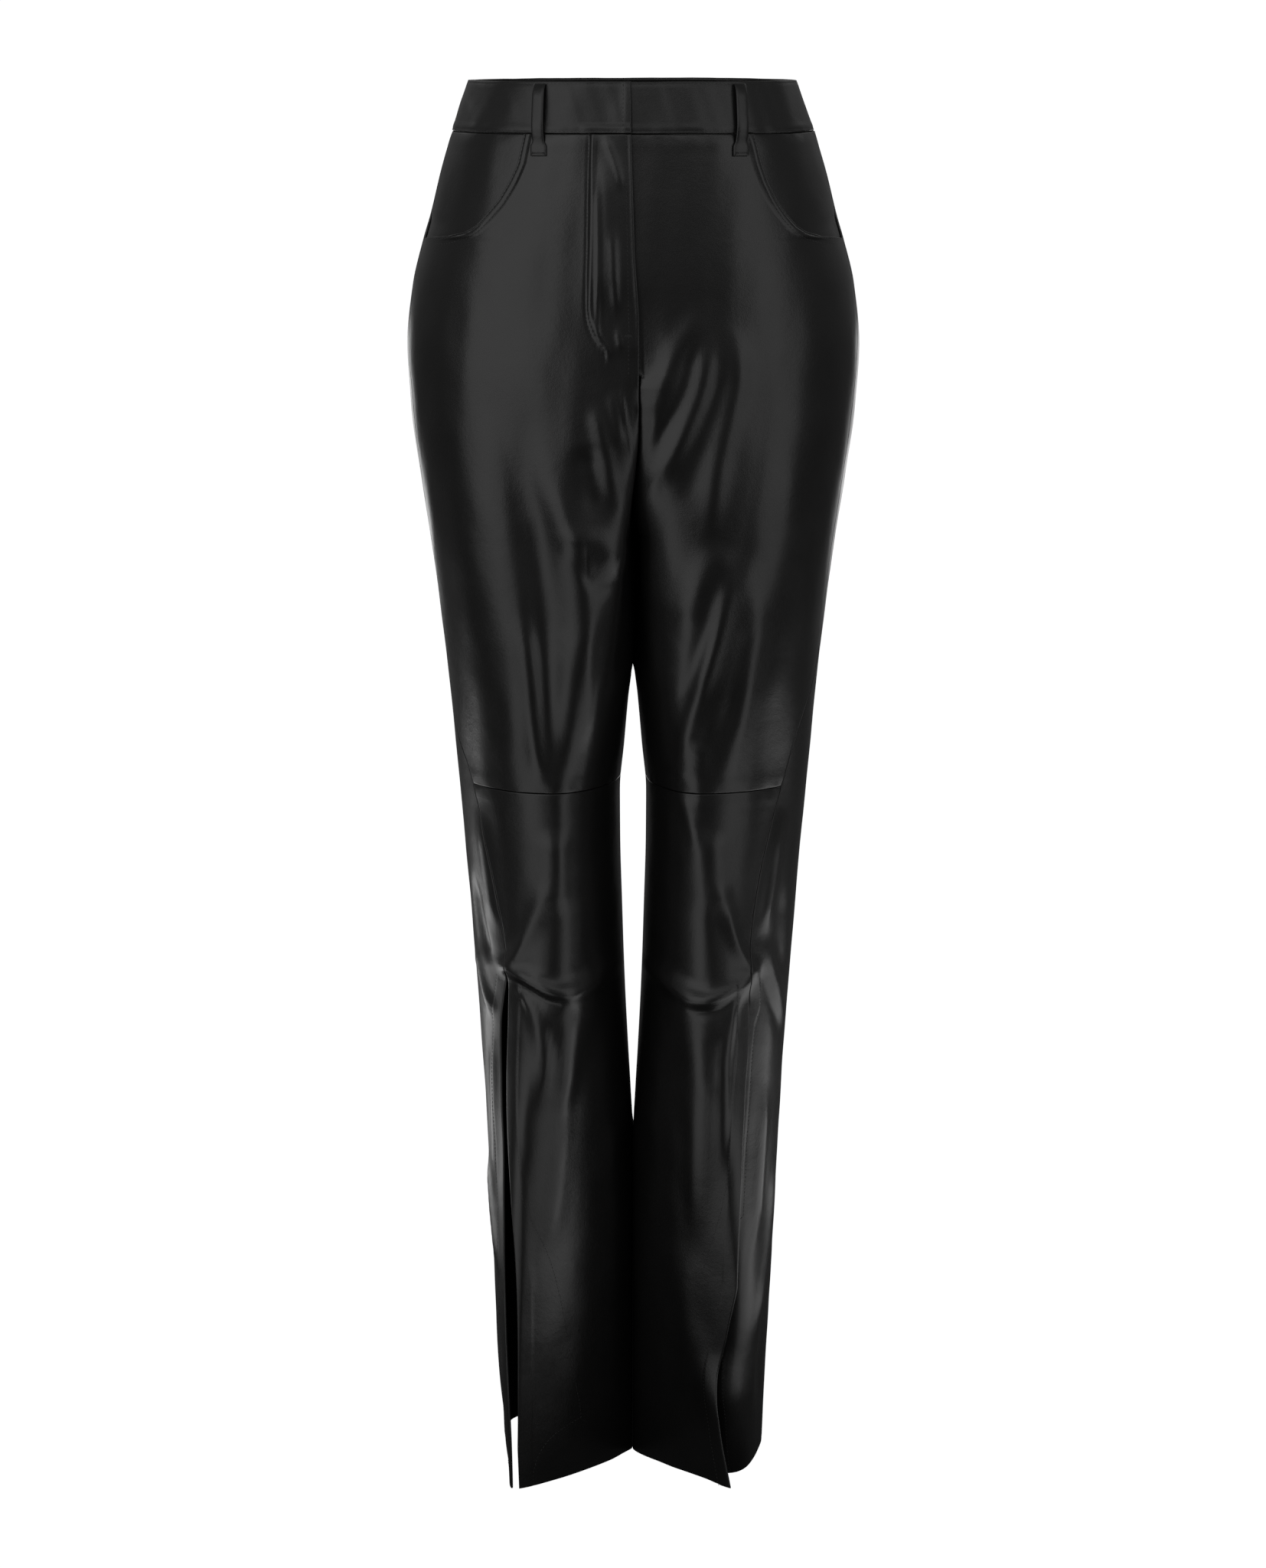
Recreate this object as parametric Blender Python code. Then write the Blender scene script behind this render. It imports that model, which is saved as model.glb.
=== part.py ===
"""Leather trousers, filled out as if worn: high waist, straight legs, a slit in the front of each hem.

Metres, +Z up. The front faces -Y, the wearer's left is +X, and the origin is the centre of the
waistband's top edge. Every piece is a wall of leather on one form, body_point(). On each half of the
body, share runs from 0 at the centre front (below the crotch: at the inseam) past the side at 0.5
to 1 at the centre back (below the crotch: at the inseam again).
"""
import math
from collections import namedtuple

import bmesh
import bpy
import numpy as np
from mathutils import Vector

for old in list(bpy.data.objects):
    bpy.data.objects.remove(old, do_unlink=True)

# ---------------------------------------------------------------- sizes
LEATHER = 0.0014          # thickness of a panel
SEAM = 0.0003             # gap between two pieces
BAND_HEIGHT = 0.0375      # waistband
BAND_WALL = 0.0024        # waistband: leather folded over a core
BAND_PROUD = 0.0004       # how far the waistband stands out of the panels
KNEE_SEAM = -0.530
HEM = -1.080
CROTCH = -0.335           # where the two legs begin
RISE_CURVE = 0.095        # height over which the centre seams turn under, towards the crotch
RISE_POWER = 2.2
RISE_SHARE = 0.13         # how far from the centre seam the curve reaches
UNDER = LEATHER + 0.0008  # how deep the hip piece lies under the front panel's scoop
UNDER_END = 0.0026        # and how much deeper at the scoop's lower end, where the side curves
FLY_UNDER = LEATHER + 0.0012   # how deep the left front lies under the right one at the fly
FLY_END = -0.2125
FLY_STEP = -0.2140        # the under-lap of the fly stops here
FLY_FLUSH = -0.2215       # from here down both fronts are level
FLY_SHARE = 0.09          # width of the under-lap, as a share of the section
BESIDE_FLY = 0.06         # the front panels' columns are closer than this share to the fly
SLIT_TOP = -0.672
EDGE = 0.00035            # half a seam gap, as a share of the section
RIM = 0.0045              # a panel's rim takes the normal that the form has this share inside it
INSEAM = 0.006            # below the crotch, shares this close to an inseam face the other leg
RIGHT, LEFT = -1, 1       # the wearer's right is at -X

# ---------------------------------------------------------------- the form's sections
Outline = namedtuple("Outline", "z half_width")
OUTLINE = [
    Outline(0.000, 0.1233), Outline(-0.037, 0.1360), Outline(-0.066, 0.1450), Outline(-0.101, 0.1540),
    Outline(-0.118, 0.1590), Outline(-0.152, 0.1673), Outline(-0.196, 0.1716), Outline(-0.240, 0.1693),
    Outline(-0.292, 0.1626), Outline(-0.345, 0.1546), Outline(-0.399, 0.1474), Outline(-0.452, 0.1417),
    Outline(-0.525, 0.1351), Outline(-0.597, 0.1291), Outline(-0.671, 0.1237), Outline(-0.745, 0.1188),
    Outline(-0.820, 0.1148), Outline(-0.895, 0.1117), Outline(-0.971, 0.1082), Outline(-1.080, 0.1039),
]
Gap = namedtuple("Gap", "z inner")           # half the gap between the legs
GAP = [
    Gap(-0.335, 0.00015), Gap(-0.436, 0.00015), Gap(-0.470, 0.0036), Gap(-0.506, 0.0068),
    Gap(-0.543, 0.0101), Gap(-0.579, 0.0099), Gap(-0.634, 0.0084), Gap(-0.689, 0.0066),
    Gap(-0.745, 0.0039), Gap(-0.782, 0.0018), Gap(-0.817, 0.00018), Gap(-1.080, 0.00015),
]
Depth = namedtuple("Depth", "z front back")
DEPTH = [
    Depth(0.00, -0.094, 0.094), Depth(-0.05, -0.101, 0.103), Depth(-0.10, -0.106, 0.114),
    Depth(-0.15, -0.109, 0.122), Depth(-0.20, -0.110, 0.127), Depth(-0.25, -0.109, 0.126),
    Depth(-0.30, -0.107, 0.120), Depth(-0.345, -0.104, 0.112), Depth(-0.44, -0.098, 0.100),
    Depth(-0.54, -0.088, 0.082), Depth(-0.67, -0.085, 0.080), Depth(-0.80, -0.086, 0.082),
    Depth(-0.95, -0.089, 0.083), Depth(-1.08, -0.094, 0.082),
]
# A leg's section is four quarters of superellipses. The crests are where it is deepest, as a share
# of its width; the powers say how square a quarter is (1 is a straight line, 2 an ellipse).
Leg = namedtuple("Leg", "z front_crest back_crest inseam_y side_y "
                        "power_in_front power_out_front power_out_back power_in_back")
LEG = [
    Leg(-0.335, 0.50, 0.50, 0.012, 0.00, 3.20, 2.2, 2.4, 3.2),
    Leg(-0.440, 0.46, 0.50, 0.008, 0.00, 2.70, 2.0, 2.3, 2.8),
    Leg(-0.540, 0.38, 0.50, 0.000, 0.00, 1.80, 1.85, 2.2, 2.1),
    Leg(-0.670, 0.47, 0.52, 0.000, 0.00, 1.72, 1.8, 2.3, 2.0),
    Leg(-0.800, 0.65, 0.54, 0.000, 0.01, 1.55, 2.0, 2.5, 1.9),
    Leg(-0.950, 0.78, 0.58, -0.002, 0.02, 1.35, 2.5, 2.9, 1.8),
    Leg(-1.080, 0.87, 0.62, -0.003, 0.03, 1.20, 3.0, 3.3, 1.7),
]
TORSO_POWER_FRONT, TORSO_POWER_BACK = 2.35, 2.45
TORSO_EVEN = 0.56                             # how evenly the torso's shares are spread, 1 being by angle

# ---------------------------------------------------------------- seams, as shares of the section
Edge = namedtuple("Edge", "z right left")
OUTSEAM = [                                   # runs down the side, then swings to the slit's top
    Edge(0.000, 0.470, 0.470), Edge(-0.170, 0.455, 0.455), Edge(-0.240, 0.441, 0.441),
    Edge(-0.290, 0.452, 0.443), Edge(-0.360, 0.484, 0.448), Edge(-0.420, 0.4912, 0.4643),
    Edge(-0.447, 0.4902, 0.4527), Edge(-0.472, 0.4812, 0.4267), Edge(-0.494, 0.4557, 0.4046),
    Edge(-0.520, 0.4195, 0.3894),
    Edge(-0.558, 0.3949, 0.3643), Edge(-0.600, 0.3746, 0.3428), Edge(-0.640, 0.3557, 0.3282),
    Edge(-0.672, 0.3440, 0.3220),
]
SLIT_FRONT_EDGE = [                           # free edge of the front panel
    Edge(-0.672, 0.3440, 0.3220), Edge(-0.712, 0.3449, 0.3210), Edge(-0.767, 0.3433, 0.3002),
    Edge(-0.808, 0.3351, 0.2846), Edge(-0.857, 0.3161, 0.2648), Edge(-0.906, 0.2923, 0.2466),
    Edge(-0.960, 0.2762, 0.2243), Edge(-0.996, 0.2686, 0.2093), Edge(-1.035, 0.2583, 0.2146),
    Edge(-1.080, 0.2470, 0.2290),
]
SLIT_BACK_EDGE = [                            # free edge of the back panel; the left one laps under
    Edge(-0.672, 0.3440, 0.3220), Edge(-0.684, 0.3502, 0.3218), Edge(-0.696, 0.3569, 0.3213),
    Edge(-0.712, 0.3635, 0.3046), Edge(-0.768, 0.3590, 0.2752), Edge(-0.809, 0.3509, 0.2553),
    Edge(-0.858, 0.3464, 0.2428), Edge(-0.907, 0.3431, 0.2238), Edge(-0.962, 0.3367, 0.1959),
    Edge(-1.017, 0.3206, 0.1826), Edge(-1.080, 0.3020, 0.1900),
]
Tuck = namedtuple("Tuck", "z depth swing")
TUCK = [                                      # the left back panel lies under the front's free edge
    Tuck(-0.672, 0.0000, 0.00), Tuck(-0.684, 0.0014, 0.00), Tuck(-0.696, 0.0026, 0.00),
    Tuck(-0.760, 0.0030, 0.02), Tuck(-0.860, 0.0034, 0.20), Tuck(-0.960, 0.0034, 0.60),
    Tuck(-1.080, 0.0030, 1.00),
]
TUCK_SHARE = 0.08                             # the tuck's depth fades out over this share
# At the hem that panel swings in from the side, along a curve drawn by three places seen from below.
SWING_EDGE, SWING_BEND = (0.052, -0.058), (0.096, -0.064)
BOW_SHARE, BOW_REACH = 0.40, 0.12             # at the hem the right back panel's side bows in
BOW_DEPTH, BOW_TOP = 0.0050, -0.980
POCKET = [                                    # the mouth of each scoop pocket
    Edge(-0.0375, 0.244, 0.268), Edge(-0.060, 0.246, 0.271), Edge(-0.073, 0.256, 0.277),
    Edge(-0.086, 0.270, 0.288), Edge(-0.097, 0.288, 0.302), Edge(-0.105, 0.303, 0.316),
    Edge(-0.110, 0.321, 0.333), Edge(-0.114, 0.362, 0.370), Edge(-0.117, 0.462, 0.462),
]
POCKET_END = -0.117
HIP_PIECE = [                                 # inner edge of the piece seen inside the scoop
    Edge(-0.0375, 0.222, 0.246), Edge(-0.086, 0.246, 0.264), Edge(-0.110, 0.296, 0.308),
    Edge(-0.1165, 0.360, 0.360),
]
HIP_PIECE_END = -0.1165
UPRIGHT = [                                   # a front panel's columns are upright up to here
    Edge(-0.0375, 0.212, 0.236), Edge(-0.086, 0.240, 0.258), Edge(-0.110, 0.284, 0.292),
    Edge(-0.140, 0.310, 0.310), Edge(-0.200, 0.320, 0.320), Edge(-0.530, 0.300, 0.290),
]
LapEdge = namedtuple("LapEdge", "z x")        # centre front: the right front's edge, then the rise seam
LAP_EDGE = [
    LapEdge(0.0000, -0.0013), LapEdge(-0.0375, -0.0008), LapEdge(-0.1250, 0.0018),
    LapEdge(-0.1680, 0.0047), LapEdge(-0.2125, 0.0048), LapEdge(-0.2215, 0.0046),
    LapEdge(-0.2500, 0.0032), LapEdge(-0.2800, 0.0012), LapEdge(-0.3050, 0.0000),
    LapEdge(-0.3350, 0.0000),
]
LAP_FADE = 0.12                               # share over which the seam's shift fades out

# ---------------------------------------------------------------- the largest folds
# Each is a ridge (or, with a negative height, a trough) through three places seen from the front.
Fold = namedtuple("Fold", "side x0 z0 x1 z1 x2 z2 half_width height")
FOLDS = [
    # below the top of each slit the cloth hangs in a bow from the seam to the inner leg
    Fold(RIGHT, -0.097, -0.664, -0.058, -0.684, -0.015, -0.680, 0.009, 0.0040),
    Fold(RIGHT, -0.094, -0.674, -0.062, -0.699, -0.034, -0.698, 0.007, -0.0045),
    Fold(RIGHT, -0.090, -0.684, -0.056, -0.712, -0.057, -0.830, 0.010, 0.0040),
    Fold(LEFT, 0.091, -0.662, 0.062, -0.684, 0.016, -0.676, 0.009, 0.0040),
    Fold(LEFT, 0.090, -0.676, 0.058, -0.697, 0.036, -0.690, 0.007, -0.0045),
    Fold(LEFT, 0.088, -0.682, 0.050, -0.705, 0.052, -0.840, 0.010, 0.0040),
    # from the knee seam down to the slit's top
    Fold(RIGHT, -0.080, -0.536, -0.066, -0.590, -0.094, -0.660, 0.010, 0.0030),
    Fold(RIGHT, -0.047, -0.540, -0.054, -0.590, -0.045, -0.650, 0.009, 0.0025),
    Fold(LEFT, 0.077, -0.536, 0.060, -0.590, 0.092, -0.660, 0.010, 0.0030),
    Fold(LEFT, 0.037, -0.536, 0.056, -0.590, 0.048, -0.640, 0.009, 0.0025),
    # drag lines that fan out of the crotch
    Fold(RIGHT, -0.045, -0.300, -0.032, -0.330, -0.012, -0.360, 0.007, 0.0030),
    Fold(RIGHT, -0.070, -0.280, -0.044, -0.360, -0.046, -0.520, 0.012, 0.0030),
    Fold(LEFT, 0.049, -0.166, 0.020, -0.206, 0.005, -0.262, 0.008, 0.0025),
    Fold(LEFT, 0.054, -0.180, 0.044, -0.240, 0.010, -0.300, 0.008, 0.0030),
    Fold(LEFT, 0.062, -0.190, 0.074, -0.240, 0.052, -0.330, 0.010, 0.0030),
    Fold(LEFT, 0.066, -0.370, 0.050, -0.440, 0.030, -0.505, 0.010, 0.0030),
    Fold(LEFT, 0.096, -0.390, 0.090, -0.450, 0.075, -0.515, 0.011, 0.0030),
    # the left front panel's corner kicks forward at the hem
    Fold(LEFT, 0.070, -1.000, 0.076, -1.040, 0.080, -1.085, 0.016, 0.0060),
]


def along(table, column, z):
    """A table's column at height z: a monotone cubic through its rows."""
    rows = sorted(table)
    heights = np.array([row.z for row in rows])
    values = np.array([getattr(row, column) for row in rows])
    z = np.clip(z, heights[0], heights[-1])
    steps = np.diff(values) / np.diff(heights)
    before, after = steps[:-1], steps[1:]
    same_way = before * after > 0
    mean = 2 * before * after / np.where(same_way, before + after, 1)
    slopes = np.concatenate([steps[:1], np.where(same_way, mean, 0), steps[-1:]])
    i = np.clip(np.searchsorted(heights, z) - 1, 0, len(heights) - 2)
    h = heights[i + 1] - heights[i]
    t = (z - heights[i]) / h
    return ((1 + 2 * t) * (1 - t) ** 2 * values[i] + t * (1 - t) ** 2 * h * slopes[i]
            + t * t * (3 - 2 * t) * values[i + 1] - t * t * (1 - t) * h * slopes[i + 1])


def straight(table, column, z):
    """A table's column at height z, with straight lines between its rows."""
    rows = sorted(table)
    return np.interp(z, [row.z for row in rows], [getattr(row, column) for row in rows])


def seam_share(table, side, z):
    return along(table, "right" if side == RIGHT else "left", z)


def ease(t):
    t = np.clip(t, 0, 1)
    return t * t * (3 - 2 * t)


def reach(angle, power):
    """Distance from the centre of a unit superellipse to its rim."""
    return (np.abs(np.cos(angle)) ** power + np.abs(np.sin(angle)) ** power) ** (-1 / power)


def torso_section(share, z):
    to_side = 1 - abs(2 * share - 1)
    angle = math.pi / 2 * (TORSO_EVEN * to_side + (1 - TORSO_EVEN) * to_side ** 2)
    front = share < 0.5
    power = TORSO_POWER_FRONT if front else TORSO_POWER_BACK
    depth = along(DEPTH, "front" if front else "back", z)
    r = reach(angle, power)
    return along(OUTLINE, "half_width", z) * r * math.sin(angle), depth * r * math.cos(angle)


def leg_section(share, z):
    inner = along(GAP, "inner", z)
    outer = along(OUTLINE, "half_width", z)
    front = share < 0.5
    on_inside = share < 0.25 or share >= 0.75
    face = "front" if front else "back"
    crest = inner + (outer - inner) * along(LEG, face + "_crest", z)
    middle = along(LEG, "inseam_y" if on_inside else "side_y", z)
    power = along(LEG, "power_" + ("in_" if on_inside else "out_") + face, z)
    from_crest = abs((share if front else 1 - share) - 0.25) / 0.25
    angle = from_crest * math.pi / 2
    r = reach(angle, power)
    across = (inner - crest if on_inside else outer - crest) * r * math.sin(angle)
    return crest + across, middle + (along(DEPTH, face, z) - middle) * r * math.cos(angle)


def fold_height(side, x, z):
    """Sum of the folds at a place on the front, each fading across its width and to its ends."""
    total = 0.0
    for fold in FOLDS:
        if fold.side != side:
            continue
        t = np.linspace(0, 1, 13)
        line_x = (1 - t) ** 2 * fold.x0 + 2 * t * (1 - t) * fold.x1 + t * t * fold.x2
        line_z = (1 - t) ** 2 * fold.z0 + 2 * t * (1 - t) * fold.z1 + t * t * fold.z2
        away = np.hypot(line_x - x, line_z - z)
        nearest = int(np.argmin(away))
        fade = math.sin(math.pi * np.clip(t[nearest], 0.06, 0.94)) ** 0.6
        total += fold.height * fade * math.exp(-(away[nearest] / fold.half_width) ** 2)
    return total


def plain_point(side, share, z):
    """The form without its folds. A share below 0 goes on round the other half of the body."""
    if share < 0:
        side, share = -side, -share
    x, y = leg = np.array(leg_section(share, z))
    if z > CROTCH:
        up = min((z - CROTCH) / RISE_CURVE, 1)
        under = math.sqrt(1 - (1 - up) ** RISE_POWER)      # the centre seams turn under in a J
        beside = ease(min(share, 1 - share) / RISE_SHARE)  # the thighs beside them change slowly
        turn = under + (ease(up) - under) * beside
        x, y = leg + (np.array(torso_section(share, z)) - leg) * turn
    shift = 0.0
    if z > CROTCH and share < LAP_FADE:
        shift = straight(LAP_EDGE, "x", z) * ease(1 - share / LAP_FADE)
    return Vector((side * max(x, SEAM / 2) + shift, y, z))


def outward(point, side, share, z):
    """The form's normal. It is level, so that every rim is too, but for the curve under the crotch."""
    du, dz = 0.004, 0.002
    if z < CROTCH + 0.001 and not INSEAM < share < 1 - INSEAM:
        return Vector((-side, 0, 0))           # at the inseam both panels' rims lie side by side
    across = point(side, share + du, z) - point(side, share - du, z)
    low, high = max(z - dz, HEM), min(z + dz, 0)
    down = point(side, share, low) - point(side, share, high)
    normal = down.cross(across).normalized() * (1 if side == LEFT else -1)
    normal.z *= ease((z - CROTCH) / 0.002) * (1 - ease((z - CROTCH - 0.07) / 0.03))
    return normal.normalized()


def body_point(side, share, z):
    base = plain_point(side, share, z)
    if abs(share) < 0.5:
        height = fold_height(side, base.x, z)
        if abs(height) > 1e-5:
            base = base + outward(plain_point, side, min(max(share, INSEAM), 1 - INSEAM), z) * height
            if side * base.x < SEAM / 2 and z < CROTCH:
                base.x = side * SEAM / 2
    return base


# ---------------------------------------------------------------- walls
def wall(name, outer, inner, material):
    """A closed piece of cloth between two grids of points, outer and inner."""
    mesh = bmesh.new()
    skins = [[[mesh.verts.new(p) for p in row] for row in grid] for grid in (outer, inner)]
    rows, columns = len(outer), len(outer[0])
    for i in range(rows - 1):
        for j in range(columns - 1):
            for skin in skins:
                mesh.faces.new((skin[i][j], skin[i][j + 1], skin[i + 1][j + 1], skin[i + 1][j]))
    rim = [(0, j) for j in range(columns)] + [(i, columns - 1) for i in range(1, rows)]
    rim += [(rows - 1, j) for j in range(columns - 2, -1, -1)] + [(i, 0) for i in range(rows - 2, 0, -1)]
    for (i, j), (k, m) in zip(rim, rim[1:] + rim[:1]):
        mesh.faces.new((skins[0][i][j], skins[0][k][m], skins[1][k][m], skins[1][i][j]))
    bmesh.ops.recalc_face_normals(mesh, faces=mesh.faces)
    return finish(name, mesh, material)


def finish(name, mesh, material):
    data = bpy.data.meshes.new(name)
    mesh.to_mesh(data)
    mesh.free()
    data.shade_smooth()
    data.set_sharp_from_angle(angle=math.radians(40))
    data.materials.append(material)
    piece = bpy.data.objects.new(name, data)
    collection.objects.link(piece)
    return piece


def panel(name, side, levels, columns, material, lift=None, form=body_point):
    """A panel whose columns(z) are its shares at each of its levels, lifted off the form by lift()."""
    outer, inner = [], []
    for z in levels:
        shares = columns(z)
        normals = [outward(form, side, min(max(s, RIM), 1 - RIM) if s > -EDGE else s, z) for s in shares]
        raised = [lift(s, z) if lift else 0.0 for s in shares]
        points = [form(side, s, z) for s in shares]
        outer.append([p + n * h for p, n, h in zip(points, normals, raised)])
        inner.append([p + n * (h - LEATHER) for p, n, h in zip(points, normals, raised)])
    return wall(name, outer, inner, material)


def chain(knots, cells):
    """Shares from knot to knot, in equal steps within each stretch."""
    shares = [knots[0]]
    for start, end, count in zip(knots, knots[1:], cells):
        shares += [start + (end - start) * i / count for i in range(1, count + 1)]
    return shares


def leather(name, shade, roughness):
    material = bpy.data.materials.new(name)
    material.use_nodes = True
    shader = material.node_tree.nodes["Principled BSDF"]
    shader.inputs["Base Color"].default_value = (shade, shade, shade, 1)
    shader.inputs["Roughness"].default_value = roughness
    material.diffuse_color = (shade, shade, shade, 1)
    return material


# ---------------------------------------------------------------- the pieces
def front_edge(side):
    """Outer edge of a front panel: the scoop, then the outseam, then the slit."""
    def share(z):
        if z > POCKET_END:
            return straight(POCKET, "right" if side == RIGHT else "left", z) - EDGE
        if z > SLIT_TOP:
            return seam_share(OUTSEAM, side, z) - EDGE
        return seam_share(SLIT_FRONT_EDGE, side, z) - EDGE
    return share


def back_edge(side):
    """Outer edge of a back panel: the outseam, then the slit."""
    def share(z):
        table = OUTSEAM if z > SLIT_TOP else SLIT_BACK_EDGE
        return seam_share(table, side, z) + EDGE
    return share


def fly_lift(share, z):
    """The left front dips under the right one, down to the end of the fly."""
    down = 1 - ease((FLY_STEP - z) / (FLY_STEP - FLY_FLUSH))
    return -FLY_UNDER * down * (1 - ease((share - 0.012) / 0.09))


def bowed_point(side, share, z):
    """The right back panel: its side bows in a little at the hem, between its corner and the slit."""
    point = body_point(side, share, z)
    across = 1 - min(abs(share - BOW_SHARE) / BOW_REACH, 1)
    point.x -= side * BOW_DEPTH * ease(across) * ease((BOW_TOP - z) / (BOW_TOP - HEM))
    return point


def tucked_point(side, share, z):
    """The left back panel: at the slit it passes under the front panel, more so towards the hem."""
    point = body_point(side, share, z)
    if z > SLIT_TOP or share > 0.5:
        return point
    start = seam_share(SLIT_BACK_EDGE, side, z)
    t = min(max((share - start) / (0.5 - start), 0), 1)
    at_side = body_point(side, 0.5, z)
    swung = Vector(((1 - t) ** 2 * SWING_EDGE[0] + 2 * t * (1 - t) * SWING_BEND[0] + t * t * at_side.x,
                    (1 - t) ** 2 * SWING_EDGE[1] + 2 * t * (1 - t) * SWING_BEND[1] + t * t * at_side.y, z))
    point = point.lerp(swung, along(TUCK, "swing", z))
    behind = (share - seam_share(SLIT_FRONT_EDGE, side, z)) / TUCK_SHARE
    point.y += along(TUCK, "depth", z) * (1 - ease(behind))
    return point


def heights(top, bottom, step, extra=()):
    """Heights from top to bottom about a step apart, with the extra ones that a detail needs."""
    count = max(int(round((top - bottom) / step)), 1)
    levels = [top + (bottom - top) * i / count for i in range(count + 1)]
    levels = [z for z in levels if all(abs(z - e) > step * 0.45 for e in extra) or z in (top, bottom)]
    return sorted(set(levels) | set(extra), reverse=True)


CROTCH_LEVELS = [CROTCH + rise for rise in (0.060, 0.042, 0.027, 0.015, 0.0065, 0.0018, 0.0, -0.004)]
POCKET_LEVELS = [row.z for row in POCKET[1:]]
SLIT_LEVELS = [SLIT_TOP, -0.684, -0.696, -0.712]
UPPER_LEVELS = heights(-BAND_HEIGHT - SEAM, KNEE_SEAM + SEAM / 2, 0.025,
                       POCKET_LEVELS + [FLY_END, FLY_STEP, FLY_FLUSH] + CROTCH_LEVELS)
LOWER_LEVELS = heights(KNEE_SEAM - SEAM / 2, HEM, 0.0235, SLIT_LEVELS)


def fronts(material):
    """Only the columns beside the fly and beside the outer edge follow these, so the others stay upright."""
    for side, word in ((RIGHT, "right"), (LEFT, "left")):
        edge = front_edge(side)

        def upper_columns(z, side=side, edge=edge):
            under = side == LEFT and z >= FLY_END - 1e-9
            start = -FLY_SHARE if under else EDGE
            knot = seam_share(UPRIGHT, side, z)
            return chain([start, BESIDE_FLY, knot, edge(z)], [2, 4, 3])

        lift = fly_lift if side == LEFT else None
        panel("front_upper_" + word, side, UPPER_LEVELS, upper_columns, material, lift)
        panel("front_lower_" + word, side, LOWER_LEVELS, lambda z: chain([EDGE, edge(z)], [9]), material)


def backs(material):
    """Full length. They share the fronts' levels, so that the seams' edges run side by side."""
    for side, word in ((RIGHT, "right"), (LEFT, "left")):
        form = tucked_point if side == LEFT else bowed_point
        panel("back_" + word, side, UPPER_LEVELS + LOWER_LEVELS,
              lambda z, edge=back_edge(side): chain([edge(z), 0.5, 1 - EDGE], [2, 5]), material, form=form)


def hip_lift(share, z):
    return -UNDER - UNDER_END * ease((-0.090 - z) / 0.020)


def hip_pieces(material):
    levels = [z for z in UPPER_LEVELS if z > POCKET_END] + [HIP_PIECE_END]
    for side, word in ((RIGHT, "right"), (LEFT, "left")):
        panel("hip_piece_" + word, side, levels,
              lambda z: chain([seam_share(HIP_PIECE, side, z), seam_share(OUTSEAM, side, z) - EDGE], [4]),
              material, hip_lift)


def waistband(material):
    """One strip, open at the centre front, where its right end lies over its left end."""
    lap = -(BAND_WALL + SEAM)
    stations = [(LEFT, share, lap) for share in (-0.10, -0.05, 0.0, 0.02)]
    stations += [(LEFT, share, lap * (1 - ease((share - 0.02) / 0.09))) for share in (0.05, 0.08, 0.11)]
    stations += [(LEFT, share, 0.0) for share in np.linspace(0.15, 0.975, 21)]
    stations += [(RIGHT, share, 0.0) for share in np.linspace(0.995, 0.0, 26)]
    levels = np.linspace(-BAND_HEIGHT, 0, 3)
    outer, inner = [], []
    for z in levels:
        points = [body_point(side, share, z) for side, share, _ in stations]
        normals = [outward(body_point, side, min(share, 1 - RIM), z) for side, share, _ in stations]
        outer.append([p + n * (h + BAND_PROUD) for p, n, (_, _, h) in zip(points, normals, stations)])
        inner.append([p + n * (h + BAND_PROUD - BAND_WALL)
                      for p, n, (_, _, h) in zip(points, normals, stations)])
    wall("waistband", outer, inner, material)


Loop = namedtuple("Loop", "name side share lean")
LOOPS = [
    Loop("belt_loop_front_right", RIGHT, 0.222, -0.38), Loop("belt_loop_front_left", LEFT, 0.249, -0.43),
    Loop("belt_loop_side_right", RIGHT, 0.680, 0.30), Loop("belt_loop_side_left", LEFT, 0.680, 0.30),
    Loop("belt_loop_back", LEFT, 1.0, 0.0),
]
LOOP_WIDTH = 0.0100
LOOP_WALL = 0.0020
LOOP_PATH = [(-0.0540, 0.0004), (-0.0450, 0.0004), (-0.0380, 0.0026), (-0.0290, 0.0034),
             (-0.0120, 0.0034), (-0.0060, 0.0026), (-0.0020, 0.0008)]   # height, then gap to the form


def belt_loops(material):
    """Straps that arch over the waistband, their ends on the band's top and on the panel below it."""
    for loop in LOOPS:
        outer, inner = [], []
        for z, gap in LOOP_PATH:
            share = loop.share + loop.lean * (-z - BAND_HEIGHT / 2)
            foot = body_point(loop.side, share, z)
            normal = outward(body_point, loop.side, min(share, 1 - RIM), z)
            if loop.share == 1.0:
                foot.x, normal = 0.0, Vector((0, 1, 0))
            sideways = normal.cross(Vector((0, 0, 1))).normalized() * LOOP_WIDTH / 2
            floor = gap + (BAND_PROUD if z > -BAND_HEIGHT else 0.0)
            inner.append([foot + normal * floor + sideways * k for k in (-1, 1)])
            outer.append([foot + normal * (floor + LOOP_WALL) + sideways * k for k in (-1, 0, 1)])
            inner[-1].insert(1, foot + normal * floor)
        wall(loop.name, outer, inner, material)


collection = bpy.data.collections.new("leather_trousers")
bpy.context.scene.collection.children.link(collection)

shell = leather("black_leather", 0.012, 0.36)
band = leather("black_leather_band", 0.014, 0.38)
fronts(shell)
backs(shell)
hip_pieces(shell)
waistband(band)
belt_loops(band)
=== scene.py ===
# %% [markdown]
# # Leather trousers, filled out as if worn
# High-waisted, straight-legged trousers of smooth black leather: a lapped fly, scoop pockets, belt
# loops, a seam across each knee and a slit in the front of each hem. A real pair is cut flat from
# eight panels and a waistband. Here each of those pieces is one thin shell, and all the shells are
# bent over one form, so that they meet at their seams from every side.

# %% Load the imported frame
import math

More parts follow.
